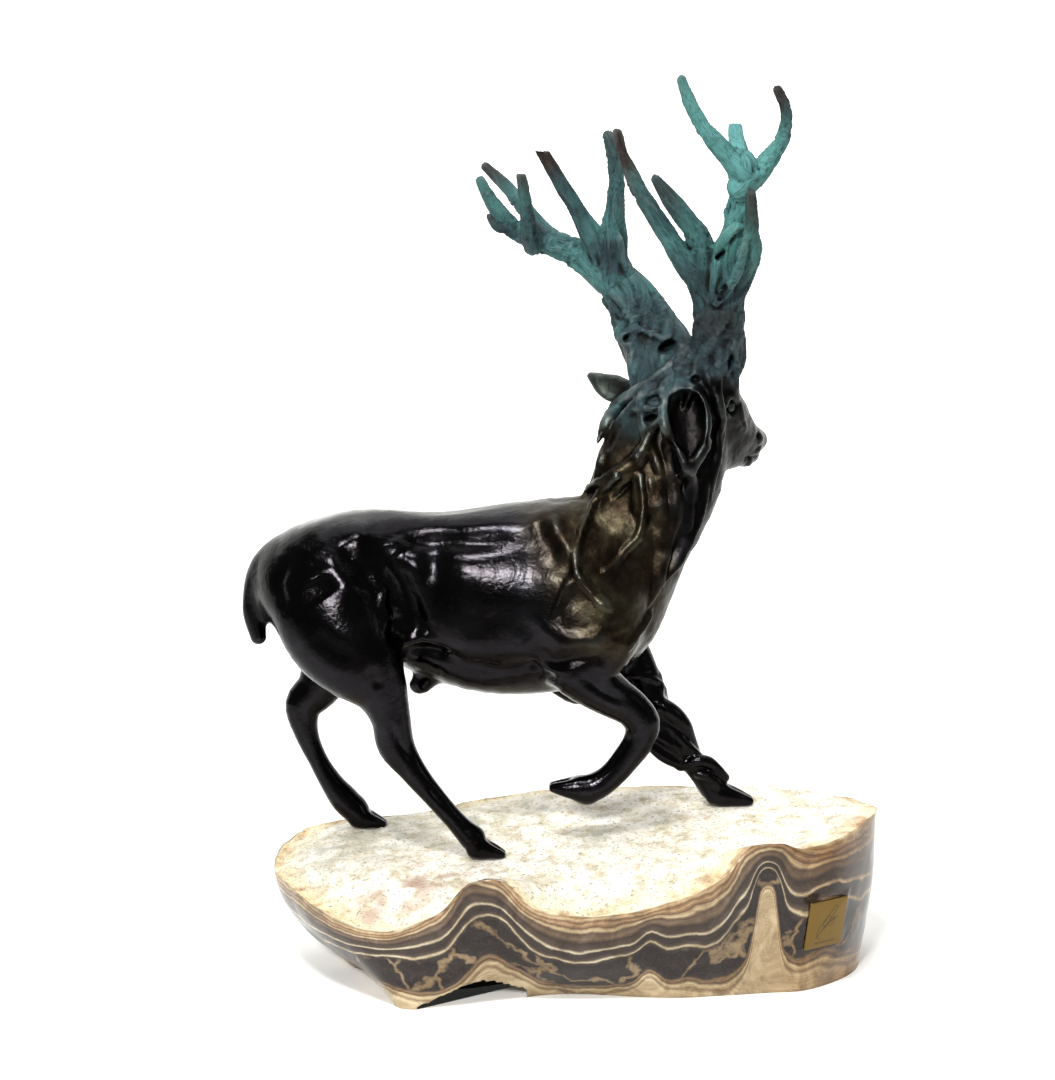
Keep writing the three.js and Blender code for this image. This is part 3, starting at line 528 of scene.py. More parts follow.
eye = onFace(102.5, 302.4)
nostril = onFace(124.0, 281.5)
mouth = [onFace(x, z, 0.4) for x, z in ((115.5, 266.0), (118.5, 266.2), (122, 266.6), (125.5, 267.0))]
browLine = [onFace(x, z, 0.3) for x, z in ((98, 305), (99.5, 309), (103, 310), (106, 307))]
cheekLine = [onFace(x, z, 0.5) for x, z in ((99, 297), (103, 293.5), (108, 290), (114, 286))]
for turned in (False, True):
    flip = otherSide if turned else (lambda place: place)
    socket = flip(eye)
    cutTube(blob(socket, [0.4, 0.2, 0], (4.8, 5.2)), 2.0)
    inwards = (headMiddle - np.array(socket[:2])) / np.linalg.norm(headMiddle - np.array(socket[:2]))
    ball = np.array([socket[0] + inwards[0] * 1.8, socket[1] + inwards[1] * 1.8, socket[2]])
    addTube(blob(ball, [0.3, 0.3, 0], (2.6, 3.1)), 0.6)
    for line, radius in ((browLine, 2.2), (cheekLine, 1.3)):
        addTube(tube(sampled([[*flip(p), radius] for p in line], 2.0), reach=4.0), 2.0)
    cutTube(blob(flip(nostril), [0.8, 0.8, 0.4], (2.2, 1.6), (1.4, 1.2), 4.0), 1.2)
    cutTube(tube(sampled([[*flip(p), 1.2] for p in mouth], 2.0), reach=4.0), 0.8)
for x, z, radius in ((127.5, 279, 3.2), (126.5, 271.5, 3.0), (121, 262.8, 2.2)):
    y = skinAt(x - 3, z, nearSide) + 4
    addTube(blob((x - 2, y, z), [-1.5, 6, 0], (radius, radius), reach=4.0), 3)

# Small forms under the body
for lump in (
        [[-160, 8, 132, 8, 8], [-157, 8, 124, 6, 6]], [[-98, 6, 122, 7, 6], [-104, 6, 113, 5, 5]]):
    addTube(tube(sampled(lump, 4.0), reach=6.0), 5)
print("roots and face added")


# The field's zero level as a mesh of quads, one point in each crossed box
def surfaceOf(values):
    inside = values < 0
    shape = np.array(values.shape)
    corners = [(i, j, k) for i in (0, 1) for j in (0, 1) for k in (0, 1)]
    count = np.zeros(shape - 1, np.int8)
    for i, j, k in corners:
        count += inside[i:shape[0] - 1 + i, j:shape[1] - 1 + j, k:shape[2] - 1 + k]
    cells = np.argwhere((count > 0) & (count < 8))
    number = np.full(shape - 1, -1, np.int32)
    number[tuple(cells.T)] = np.arange(len(cells))
    at = {c: values[tuple((cells + c).T)].astype(float) for c in corners}
    total, crossed = np.zeros((len(cells), 3)), np.zeros(len(cells))
    for a in corners:
        for axis in range(3):
            if a[axis]:
                continue
            b = tuple(1 if i == axis else a[i] for i in range(3))
            cut = (at[a] < 0) != (at[b] < 0)
            t = np.where(cut, at[a] / np.where(cut, at[a] - at[b], 1), 0)
            place = np.tile(np.array(a, float), (len(cells), 1))
            place[:, axis] = t
            total += place * cut[:, None]
            crossed += cut
    points = (cells + total / crossed[:, None]) * voxel + gridLow
    quads = []
    for axis in range(3):
        b, c = (axis + 1) % 3, (axis + 2) % 3
        low = [slice(1, -1)] * 3
        low[axis] = slice(0, -1)
        high = list(low)
        high[axis] = slice(1, None)
        starts, ends = inside[tuple(low)], inside[tuple(high)]
        edges = np.argwhere(starts != ends) + [0 if i == axis else 1 for i in range(3)]
        leaving = inside[tuple(edges.T)]
        around = []
        for db, dc in ((1, 1), (0, 1), (0, 0), (1, 0)):
            cell = edges.copy()
            cell[:, b] -= db
            cell[:, c] -= dc
            around.append(number[tuple(cell.T)])
        ring = np.stack(around, axis=1)
        ring[~leaving] = ring[~leaving][:, ::-1]
        quads.append(ring)
    return points, np.vstack(quads)


# One casting has no loose crumbs, so only the largest connected mesh stays
def largestIsland(points, faces):
    label = np.arange(len(points))
    while True:
        lower = label.copy()
        np.minimum.at(lower, faces, label[faces].min(axis=1)[:, None])
        lower = lower[lower]
        if (lower == label).all():
            break
        label = lower
    kept = label == np.bincount(label).argmax()
    renumbered = np.cumsum(kept) - 1
    return points[kept], renumbered[faces[kept[faces[:, 0]]]]


def normalsOf(points, faces):
    corners = points[faces]
    across = np.cross(corners[:, 2] - corners[:, 0], corners[:, -1] - corners[:, 1])
    normals = np.zeros_like(points)
    for i in range(faces.shape[1]):
        for axis in range(3):
            normals[:, axis] += np.bincount(faces[:, i], across[:, axis], len(points))
    return normals / np.maximum(np.linalg.norm(normals, axis=1), 1e-9)[:, None]


def neighbourMeans(values, edges):
    total = np.zeros_like(values)
    flat = values.reshape(len(values), -1)
    out = total.reshape(len(values), -1)
    count = np.bincount(edges.ravel(), minlength=len(values))
    for i in range(flat.shape[1]):
        out[:, i] = (np.bincount(edges[:, 0], flat[edges[:, 1], i], len(values))
                     + np.bincount(edges[:, 1], flat[edges[:, 0], i], len(values)))
    out /= np.maximum(count, 1)[:, None]
    return total


points, faces = largestIsland(*surfaceOf(field))
print("surface", len(points), "points", len(faces), "quads")
del field
edges = np.unique(np.sort(np.vstack([faces[:, [0, 1]], faces[:, [1, 2]], faces[:, [2, 3]],
                                     faces[:, [3, 0]]]), axis=1), axis=0)
evening = 0.35
points += (neighbourMeans(points, edges) - points) * evening
normals = normalsOf(points, faces)

# Strokes of the modelling tool, seen from the side: route, half width, height, and how far in they reach
muscles = [
    ([(-145, 217)], 9, 2.0), ([(-123, 216), (-118, 205)], 7, 1.2), ([(-176, 190), (-168, 177)], 14, -1.5),
    ([(-157, 212), (-135, 186)], 8, -1.7), ([(-166, 208), (-143, 178)], 8, 1.4),
    ([(-134, 192), (-128, 182), (-129, 173), (-125, 163), (-126, 149)], 3.2, 1.6),
    ([(-125, 203), (-115.5, 189), (-109.5, 174), (-106, 162), (-103.5, 153)], 6.5, -3.0),
    ([(-121, 167), (-123, 151)], 3.6, -2.2), ([(-119, 145), (-102, 151), (-94, 147)], 4, 2.0),
    ([(-115.5, 140), (-99, 141), (-84, 137)], 4.5, -2.8),
    ([(-122, 222), (-71, 224), (-30, 226), (0, 229)], 9, 1.3),
    ([(-119, 213), (-71, 213), (-40, 216)], 6, -1.3), ([(-108, 199)], 11, 1.5), ([(-80, 200)], 16, 1.5),
    ([(-97, 208), (-94, 186)], 8, -0.7), ([(-21.5, 230), (-12, 219), (-4, 204), (-0.6, 197)], 6, 1.4),
    ([(-30, 226), (-20, 214), (-12, 200)], 8, -1.1),
    ([(-91, 141), (-74, 131), (-51, 128), (-31, 132), (-22, 126)], 7, -1.8),
    ([(-96, 130), (-70, 119), (-45, 117)], 8, 1.2),
    ([(-29, 144), (-17, 136), (-1, 138.5), (14.5, 142.5)], 5, -1.8),
    ([(-33, 135), (-25, 127), (-14, 124.5)], 3, -1.6),
    ([(-30, 165), (-10, 150), (10, 152), (24, 164)], 7, 1.4), ([(-59, 168), (-54, 158)], 7, -0.6),
    ([(-40, 164), (-28, 152)], 7, -0.6), ([(-70, 172), (-66, 150)], 8, -0.8),
    ([(-190, 205), (-197, 188), (-192, 168)], 4, -1.2),
    ([(-172, 158), (-160, 146), (-146, 138)], 6, -0.9), ([(-136, 134), (-130, 118)], 4, -1.2),
    ([(-122, 92), (-118, 80), (-108, 66)], 2.2, -1.0), ([(-100, 52), (-86, 35)], 1.8, -0.8),
    ([(2, 128), (16, 116), (30, 108)], 3.4, -1.2), ([(8, 140), (20, 126), (34, 112)], 4, 1.0),
    ([(38, 88), (30, 72), (20, 60)], 2, -0.9), ([(12, 180), (20, 160)], 6, 0.9),
    ([(-6, 186), (-14, 164)], 5, -0.8)
]
farMuscles = [
    ([(-145, 217)], 12, 1.4), ([(-172, 184)], 10, -2.0), ([(-157, 209), (-139, 190)], 5, -1.6),
    ([(-125, 203), (-110, 174), (-104, 153)], 7, -2.4), ([(-118, 224), (-71, 224), (-12, 229)], 7, 1.2),
    ([(-91, 141), (-51, 128), (-22, 126)], 6, -1.8), ([(-21.5, 230), (-4, 204)], 5, 1.4),
    ([(-29, 144), (-1, 138.5), (14.5, 142.5)], 4, -2.0), ([(-60, 190)], 18, 1.0)
]


# Distance from a route seen from the side, and a share that fades out towards its two ends
def routeDistance(x, z, route):
    route = [np.array(p, float) for p in route]
    if len(route) == 1:
        return np.hypot(x - route[0][0], z - route[0][1]), np.ones(len(x))
    total = sum(np.linalg.norm(b - a) for a, b in zip(route[:-1], route[1:]))
    nearest, place, before = np.full(len(x), 1e9), np.zeros(len(x)), 0.0
    for a, b in zip(route[:-1], route[1:]):
        step = b - a
        length = np.linalg.norm(step)
        t = np.clip(((x - a[0]) * step[0] + (z - a[1]) * step[1]) / length ** 2, 0, 1)
        apart = np.hypot(x - a[0] - t * step[0], z - a[1] - t * step[1])
        closer = apart < nearest
        nearest[closer] = apart[closer]
        place[closer] = (before + t[closer] * length) / total
        before += length
    return nearest, smooth(place, -0.12, 0.3) * smooth(1 - place, -0.12, 0.3)


strokeDepth = 1.55
lift = np.zeros(len(points))
for side, strokes in ((nearSide, muscles), (farSide, farMuscles)):
    facing = smooth(side * normals[:, 1], 0.05, 0.45) * smooth(side * (points[:, 1] - 10), 4, 14)
    for route, width, height in strokes:
        apart, fade = routeDistance(points[:, 0], points[:, 2], route)
        lift += strokeDepth * height * np.exp(-((apart / width) ** 2)) * fade * facing


# How much each point belongs to the rough neck and shoulder, and to the antlers
def regionsOf(points):
    x, z = points[:, 0], points[:, 2]
    shoulder = smooth(x + (z - 180) * 0.35, -34, 12) * smooth(z, 128, 152)
    neck = np.maximum(shoulder, smooth(z, 232, 250) * smooth(x, -60, -20))
    antler = smooth(z + 0.35 * x, 344, 366)
    return neck, antler


neck, antler = regionsOf(points)
clay = noiseSum(points, [(7.0, 1, 0.5), (3.0, 2, 0.28)])
lift += clay * (0.12 + 0.75 * neck) * (1 - 0.6 * antler)
lift += noiseAt(points, 16.0, 3) * 0.5 * (0.4 + neck)

# Bark along the antlers: ridges that follow each beam
samples = np.vstack([s for s, _, _ in beams])
ways = np.vstack([np.gradient(s[:, :3], axis=0) for s, _, _ in beams])
ways /= np.linalg.norm(ways, axis=1)[:, None]
shares = np.concatenate([np.linspace(0, 1, len(s)) for s, _, _ in beams])
tips = np.concatenate([np.full(len(s), tip) for s, tip, _ in beams])
brights = np.concatenate([np.linspace(*bright, len(s)) for s, _, bright in beams])


def nearestBeam(points, batch=4000):
    nearest = np.empty(len(points), int)
    for start in range(0, len(points), batch):
        part = points[start:start + batch]
        apart = np.linalg.norm(part[:, None, :] - samples[None, :, :3], axis=2) - samples[None, :, 3]
        nearest[start:start + batch] = np.argmin(apart, axis=1)
    return nearest


high = np.flatnonzero(antler > 0.01)
beam = nearestBeam(points[high])
offset = points[high] - samples[beam, :3]
alongBeam = np.sum(offset * ways[beam], axis=1)
outwards = offset - alongBeam[:, None] * ways[beam]
outwards /= np.maximum(np.linalg.norm(outwards, axis=1), 0.5)[:, None]
barkPlace = outwards * 6.0 + (points[high] * ways[beam]).sum(axis=1)[:, None] * ways[beam] * 0.1
bark = -np.abs(noiseAt(barkPlace, 2.8, 4)) * 2.0 + 0.45 + noiseAt(barkPlace, 1.3, 5) * 0.35
lift[high] += bark * antler[high] * np.clip(samples[beam, 3] / 6, 0.35, 1.2)
points += normals * lift[:, None]
print("carved")


# Meshes, materials and pieces

def meshFrom(name, points, faces, scale=mm):
    mesh = bpy.data.meshes.new(name)
    mesh.vertices.add(len(points))
    mesh.vertices.foreach_set("co", (points * scale).astype(np.float32).ravel())
    size = faces.shape[1]
    mesh.loops.add(faces.size)
    mesh.loops.foreach_set("vertex_index", faces.astype(np.int32).ravel())
    mesh.polygons.add(len(faces))
    mesh.polygons.foreach_set("loop_start", np.arange(0, faces.size, size, dtype=np.int32))
    mesh.polygons.foreach_set("use_smooth", np.ones(len(faces), bool))
    mesh.update(calc_edges=True)
    mesh.validate()
    return mesh


def objectFrom(name, mesh, material):
    made = bpy.data.objects.new(name, mesh)
    bpy.context.scene.collection.objects.link(made)
    mesh.materials.clear()
    mesh.materials.append(material)
    return made


def colour(code):
    parts = [int(code[i:i + 2], 16) / 255 for i in (1, 3, 5)]
    return tuple(p / 12.92 if p <= 0.04045 else ((p + 0.055) / 1.055) ** 2.4 for p in parts) + (1.0,)


def pointsOf(mesh):
    flat = np.empty(len(mesh.vertices) * 3, np.float32)
    mesh.vertices.foreach_get("co", flat)
    return flat.reshape(-1, 3).astype(float)


def setMask(mesh, name, values):
    attribute = mesh.attributes.new(name, "FLOAT", "POINT")
    attribute.data.foreach_set("value", values.astype(np.float32))


# One node with its settings, and its inputs as values or links; what comes back is one of its outputs
def add(tree, kind, inputs={}, out=0, stops=None, **settings):
    made = tree.nodes.new("ShaderNode" + kind)
    for name, value in settings.items():
        setattr(made, name, value)
    if stops:
        ramp = made.color_ramp
        while len(ramp.elements) < len(stops):
            ramp.elements.new(0.5)
        for element, (place, code) in zip(ramp.elements, stops):
            element.position = place
            element.color = colour(code) if isinstance(code, str) else (code, code, code, 1)
    for name, value in inputs.items():
        socket = made.inputs[name]
        if isinstance(value, bpy.types.NodeSocket):
            tree.links.new(value, socket)
        else:
            socket.default_value = value
    return made.outputs[out] if made.outputs else None


# A start value plus each input times its weight
def weighted(tree, start, terms):
    for value, weight in terms:
        start = add(tree, "Math", {0: value, 1: weight, 2: start}, operation="MULTIPLY_ADD")
    return start


# Colours laid over a base colour, each by its share
def layered(tree, base, layers, blend="MIX"):
    for share, over in layers:
        base = add(tree, "Mix", {0: share, 6: base, 7: over}, 2, data_type="RGBA", blend_type=blend)
    return base


def finish(tree, inputs):
    add(tree, "OutputMaterial", {"Surface": add(tree, "BsdfPrincipled", inputs)})


def materialNamed(name):
    material = bpy.data.materials.new(name)
    material.use_nodes = True
    tree = material.node_tree
    tree.nodes.clear()
    return material, tree


def evaluated(piece):
    graph = bpy.context.evaluated_depsgraph_get()
    return bpy.data.meshes.new_from_object(piece.evaluated_get(graph))


# Bronze: a dark waxed body, an olive neck and blue-green antlers, told apart by masks
bronze, tree = materialNamed("cast_bronze")
where = add(tree, "TexCoord", {}, "Object")
masks = {name: add(tree, "Attribute", {}, "Fac", attribute_name=name)
         for name in ("neck", "olive", "antler", "hollow", "edge", "tip", "bright")}
cloud = add(tree, "TexNoise", {"Vector": where, "Scale": 38.0, "Detail": 5.0, "Roughness": 0.6})
grain = add(tree, "TexNoise", {"Vector": where, "Scale": 260.0, "Detail": 4.0, "Roughness": 0.65})
skin = add(tree, "ValToRGB", {"Fac": cloud}, stops=[(0.3, "#181617"), (0.6, "#212022"), (0.8, "#2b2a30")])
olive = add(tree, "ValToRGB", {"Fac": cloud},
            stops=[(0.3, "#16110d"), (0.45, "#261f17"), (0.58, "#353024"), (0.75, "#464232")])
brightness = weighted(tree, 0, [(masks["bright"], 0.75), (cloud, 0.55), (grain, 0.16)])
green = add(tree, "ValToRGB", {"Fac": brightness},
            stops=[(0.3, "#1a2226"), (0.48, "#2c4045"), (0.64, "#3e6666"), (0.8, "#4c807b"),
                   (1.0, "#5a9391")])
# The edge mask lays a painted highlight, #747d79, on raised edges of roots and antlers
# The hollow mask lays #0f0d0c: dark patina in creases, and painted shade on the face, the right side of the
# neck and inside the near ear
base = layered(tree, skin, [
    (masks["olive"], olive), (masks["antler"], green), (masks["tip"], colour("#2d2320")),
    (masks["hollow"], colour("#0f0d0c")), (masks["edge"], colour("#747d79"))])
rough = weighted(tree, 0.1, [(masks["neck"], 0.22), (masks["antler"], 0.22), (cloud, 0.08)])
metal = weighted(tree, 1, [(masks["antler"], -0.9)])
barkWhere = add(tree, "Attribute", {}, "Vector", attribute_name="bark")
fibre = add(tree, "TexNoise", {"Vector": barkWhere, "Scale": 0.9, "Detail": 5.0, "Roughness": 0.7})
onBark = add(tree, "Math", {0: masks["antler"], 1: 0.35}, operation="SUBTRACT")
onBark = add(tree, "Math", {0: onBark, 1: 1.6}, operation="MULTIPLY", use_clamp=True)
relief = add(tree, "Mix", {0: onBark, 2: grain, 3: fibre})
reliefSize = weighted(tree, 0.0004, [(onBark, 0.0016)])
bump = add(tree, "Bump", {"Height": relief, "Strength": 0.7, "Distance": reliefSize})
crevice = add(tree, "ValToRGB", {"Fac": fibre}, stops=[(0.36, 0.35), (0.5, 1.0)])
base = layered(tree, base, [(onBark, crevice)], "MULTIPLY")
finish(tree, {
    "Base Color": base, "Roughness": rough, "Metallic": metal, "Normal": bump, "Specular IOR Level": 0.2})

# The stag as one piece under its limit of triangles
stagLimit = 196000
points[:, 2] += soleLevel
rawStag = objectFrom("stag_raw", meshFrom("stag_raw", points, faces), bronze)
thinner = rawStag.modifiers.new("thinner", "DECIMATE")
thinner.ratio = min(1.0, stagLimit / (2 * len(faces)))
stagMesh = evaluated(rawStag)
bpy.data.objects.remove(rawStag)
stagPoints = pointsOf(stagMesh) / mm
stagPoints[:, 2] -= soleLevel
edgeList = np.empty(len(stagMesh.edges) * 2, np.int32)
stagMesh.edges.foreach_get("vertices", edgeList)
edgeList = edgeList.reshape(-1, 2)
flatNormals = np.empty(len(stagMesh.vertices) * 3, np.float32)
stagMesh.vertex_normals.foreach_get("vector", flatNormals)
stagNormals = flatNormals.reshape(-1, 3).astype(float)
bendRounds, fadeRounds = 4, 14
means = stagPoints
for _ in range(bendRounds):
    means = neighbourMeans(means, edgeList)
bend = np.sum((means - stagPoints) * stagNormals, axis=1)
bend = neighbourMeans(bend, edgeList)
neck, antler = regionsOf(stagPoints)
antler = smooth(antler + noiseAt(stagPoints, 9.0, 6) * 0.18, 0.15, 0.85)
beam = nearestBeam(stagPoints)
x, z = stagPoints[:, 0], stagPoints[:, 2]
mottle = noiseAt(stagPoints, 11.0, 8)
headTeal = smooth(z + mottle * 8, 268, 316) * smooth(88 - x, 0, 22) + smooth(z + mottle * 8, 318, 342)
headTeal = np.clip(headTeal, 0, 1) * (1 - antler) * smooth(stagPoints[:, 2], 250, 270)
inNearEar = 1 - smooth(np.hypot((x - 73.5) / 17, (z - 289) / 28), 0.75, 1.05)
onFarEar = smooth(stagPoints[:, 1], 24, 34) * smooth(56 - x, 0, 8) * smooth(340 - z, 0, 10)
headTeal *= (1 - inNearEar * (stagPoints[:, 1] < 0)) * (1 - 0.7 * onFarEar)
olive = neck * smooth(72 - x + mottle * 6, 0, 22) * (1 - headTeal)
# Painted shade: the face and the right side of the neck are darkened so they mirror less of the bright
# backdrop, and the inside of the near ear is darkened as a shaded recess
faceEarPaintedShade = smooth(x, 70, 82) * smooth(z, 180, 220) * smooth(326 - z, 0, 12) * (1 - antler)
faceEarPaintedShade = np.maximum(faceEarPaintedShade, inNearEar * (stagPoints[:, 1] < 0))
bright = brights[beam]
shade = tips[beam] * smooth(shares[beam] + noiseAt(stagPoints, 6.0, 7) * 0.08, 0.55, 1.0) * antler
for _ in range(fadeRounds):
    bright = neighbourMeans(bright, edgeList)
    shade = neighbourMeans(shade, edgeList)
onRoots = np.maximum(neck, antler)
upperNeck = smooth(z, 236, 262) * (1 - antler)
# How much painted highlight the raised edges get: most on the teal head, then the upper neck, olive neck
# and antlers
edgeHighlightShare = 0.06 + 0.36 * headTeal + 0.14 * olive + 0.12 * antler + 0.18 * upperNeck
masks = {
    "neck": neck, "olive": olive, "antler": np.clip(antler + 0.75 * headTeal, 0, 1),
    # hollow: dark patina in creases, and painted shade on the face, the neck's right side and inside the
    # near ear
    "hollow": np.maximum(smooth(bend, 0.1, 0.55) * (0.3 + 0.7 * onRoots), 0.75 * faceEarPaintedShade),
    # edge: painted highlight on raised edges of roots and antlers
    "edge": smooth(-bend, 0.15, 0.7) * onRoots * edgeHighlightShare,
    "tip": shade, "bright": bright + mottle * 0.08}
for name, values in masks.items():
    setMask(stagMesh, name, np.clip(values, 0, 1))
outwards = stagPoints - samples[beam, :3]
alongBeam = np.sum(stagPoints * ways[beam], axis=1)
outwards -= np.sum(outwards * ways[beam], axis=1)[:, None] * ways[beam]
outwards /= np.maximum(np.linalg.norm(outwards, axis=1), 0.5)[:, None]
grainPlace = outwards * 8.0 + alongBeam[:, None] * ways[beam] * 0.12
barkAttribute = stagMesh.attributes.new("bark", "FLOAT_VECTOR", "POINT")
barkAttribute.data.foreach_set("vector", grainPlace.astype(np.float32).ravel())
stag = objectFrom("stag", stagMesh, bronze)
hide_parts("bronze_stag")
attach(stag, "root")
print("stag", len(stagMesh.polygons), "faces")

# Stone slab: rim corners as shares of half length, half depth and rise, with the undercut below each
slab = {"length": 416, "depth": 198, "rise": 106, "undercut": 64, "wallCurve": 2, "shoulder": 50}
rim = np.array([
    [-1, 0.08, 0.66, 0.8], [-0.93, -0.3, 0.62, 0.92], [-0.77, -0.72, 0.53, 0.66],
    [-0.6, -0.96, 0.51, 0.2], [-0.43, -1, 0.64, 0.36], [-0.34, -1, 0.82, 0.5], [-0.25, -0.99, 0.82, 0.58],
    [-0.15, -0.98, 0.68, 0.6], [-0.03, -0.97, 0.61, 0.58], [0.13, -0.95, 0.62, 0.54],
    [0.36, -0.91, 0.73, 0.48], [0.46, -0.86, 0.83, 0.45], [0.53, -0.81, 0.99, 0.44],
    [0.63, -0.74, 1, 0.42], [0.72, -0.67, 0.95, 0.38], [0.82, -0.6, 0.99, 0.34], [0.96, -0.2, 1.05, 0.22],
    [1, 0.12, 1.02, 0.18], [0.99, 0.5, 0.98, 0.2], [0.92, 0.82, 0.95, 0.3], [0.76, 0.94, 0.96, 0.36],
    [0.45, 1, 0.98, 0.4], [0.14, 1, 0.98, 0.4], [-0.13, 1, 0.95, 0.4], [-0.32, 0.97, 0.9, 0.42],
    [-0.51, 0.91, 0.82, 0.48], [-0.72, 0.85, 0.8, 0.62], [-0.86, 0.74, 0.79, 0.8],
    [-0.96, 0.5, 0.75, 0.92]])
rimPoints = rim[:, :3] * [slab["length"] / 2, slab["depth"] / 2, slab["rise"]]
soles = np.array([[x, y, soleLevel + z] for x, y, z in (h["at"] for h in hooves[:3])])
soleNormal = np.cross(soles[1] - soles[0], soles[2] - soles[0])
seatDepth = 2.0


def rimAt(around):
    return curveThrough(rimPoints, around, closed=True)


def wallAt(around, level):
    edge = rimAt(around)
    under = curveThrough(rim[:, 3:4] * [[slab["undercut"]]], around, centripetal=False, closed=True)[:, 0]
    under = under * (1 - level) ** slab["wallCurve"]
    inwards = -edge[:, :2] / np.linalg.norm(edge[:, :2], axis=1)[:, None]
    place = edge.copy()
    place[:, :2] += inwards * under[:, None]
    place[:, 2] *= level
    return place


def planeLevel(place):
    flat = place[:, :2] - soles[0, :2]
    slope = soleNormal[0] * flat[:, 0] + soleNormal[1] * flat[:, 1]
    return soles[0, 2] + seatDepth - slope / soleNormal[2]


aroundCount = 440
around = np.arange(aroundCount) / aroundCount
wallSteps = 46
rings, depths = [], []
rimRing = rimAt(around)
inwards = -rimRing[:, :2] / np.linalg.norm(rimRing[:, :2], axis=1)[:, None]
for level in np.linspace(0, 1, wallSteps):
    rings.append(wallAt(around, level))
    depths.append(np.full(aroundCount, 1 - level))
for inset in np.linspace(0.05, 1, 20):
    ring = rimRing.copy()
    ring[:, :2] += inwards * inset * slab["shoulder"]
    ring[:, 2] += (planeLevel(ring) - ring[:, 2]) * smooth(np.array(inset), 0, 1)
    rings.append(ring)
    depths.append(np.full(aroundCount, -inset))
shoulderRing = rings[-1]
for middle in np.linspace(0.95, 0.03, 30):
    ring = shoulderRing * [middle, middle, 1]
    ring[:, 2] = planeLevel(ring)
    rings.append(ring)
    depths.append(np.full(aroundCount, -2.0))
rockPoints = np.vstack(rings)
depth = np.concatenate(depths)
index = np.arange(len(rockPoints)).reshape(len(rings), aroundCount)
nextIndex = np.roll(index, -1, axis=1)
rockFaces = np.stack([index[:-1], nextIndex[:-1], nextIndex[1:], index[1:]], axis=-1).reshape(-1, 4)
rockNormals = normalsOf(rockPoints, rockFaces)
onWall = depth > 0

# Relief: a crust with lumps and pits on top, a polished but uneven wall
crust = noiseSum(rockPoints, [(26.0, 11, 1.2), (9.0, 12, 0.8), (4.0, 13, 0.45)])
wallRelief = noiseSum(rockPoints, [(30.0, 14, 0.7), (9.0, 15, 0.25)])
rockLift = np.where(onWall, wallRelief - 0.9, crust - 1.2)
rockLift *= np.where(onWall, smooth(rockPoints[:, 2], 0, 4), 1)
rockPoints += rockNormals * rockLift[:, None]

# Bands: how far down from the crust, folded where the photo shows folds: [x, width, height, how square]
bandFolds = [
    (123, 8.5, 0.58, 2.4), (125, 18, 0.12, 2), (46, 8, 0.15, 2), (-57, 20, 0.22, 2), (-131, 32, 0.17, 2),
    (165, 18, 0.1, 2), (88, 16, -0.05, 2), (6, 18, -0.05, 2)]
bands = depth.copy()
frontShare = smooth(-rockPoints[:, 1], 20, 60)
for x, width, height, power in bandFolds:
    fold = height * np.exp(-np.abs((rockPoints[:, 0] - x) / width) ** power)
    bands += fold * frontShare * smooth(depth, 0.0, 0.36)
waviness = noiseAt(rockPoints * [1, 1, 0.5], 34.0, 16) * 0.09
bands += waviness * (1 - 0.6 * frontShare) * smooth(depth, 0.02, 0.3)
bands += noiseSum(rockPoints, [(12.0, 17, 0.018), (5.0, 18, 0.006)])

# The gap under the front edge
notch = {"x": -68.6, "width": 70, "height": 15, "depth": 34}
archX = np.array([-0.5, -0.38, -0.16, 0.1, 0.34, 0.5]) * notch["width"] + notch["x"]
archZ = np.array([0.05, 0.3, 0.72, 1, 0.7, 0.3]) * notch["height"]
archHeight = np.interp(rockPoints[:, 0], archX, archZ, left=-9, right=-9)
inNotch = smooth(archHeight - rockPoints[:, 2] + noiseAt(rockPoints, 6.0, 19) * 1.2, -1.0, 1.5)
inNotch *= (rockPoints[:, 1] < -30) * onWall
rockPoints[:, 1] += inNotch * notch["depth"]

# Seats for the standing hooves
for hoof in hooves[:3]:
    flat = (rockPoints[:, :2] - hoof["at"][:2]) / [hoof["length"] / 2 + 0.8, hoof["width"] / 2 + 0.8]
    under = (np.sum(flat * flat, axis=1) < 1) & ~onWall
    rockPoints[under, 2] = np.minimum(rockPoints[under, 2], soleLevel + hoof["at"][2] - 0.3)

# The flat for the plate, and the plate's place: X along the wall, Z out of it
plate = {"along": 0.5168, "level": 0.45, "width": 33, "height": 34, "thickness": 1.5, "sink": 2.4,
         "margin": 1.0, "gap": 0.3}


def wallPoint(along, level):
    return wallAt(np.array([along]), level)[0]


plateCentre = wallPoint(plate["along"], plate["level"])
plateX = wallPoint(plate["along"] + 0.01, plate["level"]) - wallPoint(plate["along"] - 0.01, plate["level"])
plateX[2] = 0
plateX /= np.linalg.norm(plateX)
above, below = (wallPoint(plate["along"], plate["level"] + step) for step in (0.12, -0.12))
plateRise = above - below
plateOut = np.cross(plateX, plateRise)
plateOut /= np.linalg.norm(plateOut)
plateY = np.cross(plateOut, plateX)
fromPlate = rockPoints - plateCentre
px, py, pz = fromPlate @ plateX, fromPlate @ plateY, fromPlate @ plateOut
edgeRoom = np.maximum(np.abs(px) - plate["width"] / 2, np.abs(py) - plate["height"] / 2)
onFlat = smooth(plate["margin"] + 1.5 - edgeRoom, 0, 1.5) * onWall * (pz > -12)
rockPoints -= plateOut * (onFlat * (pz + plate["sink"]))[:, None]

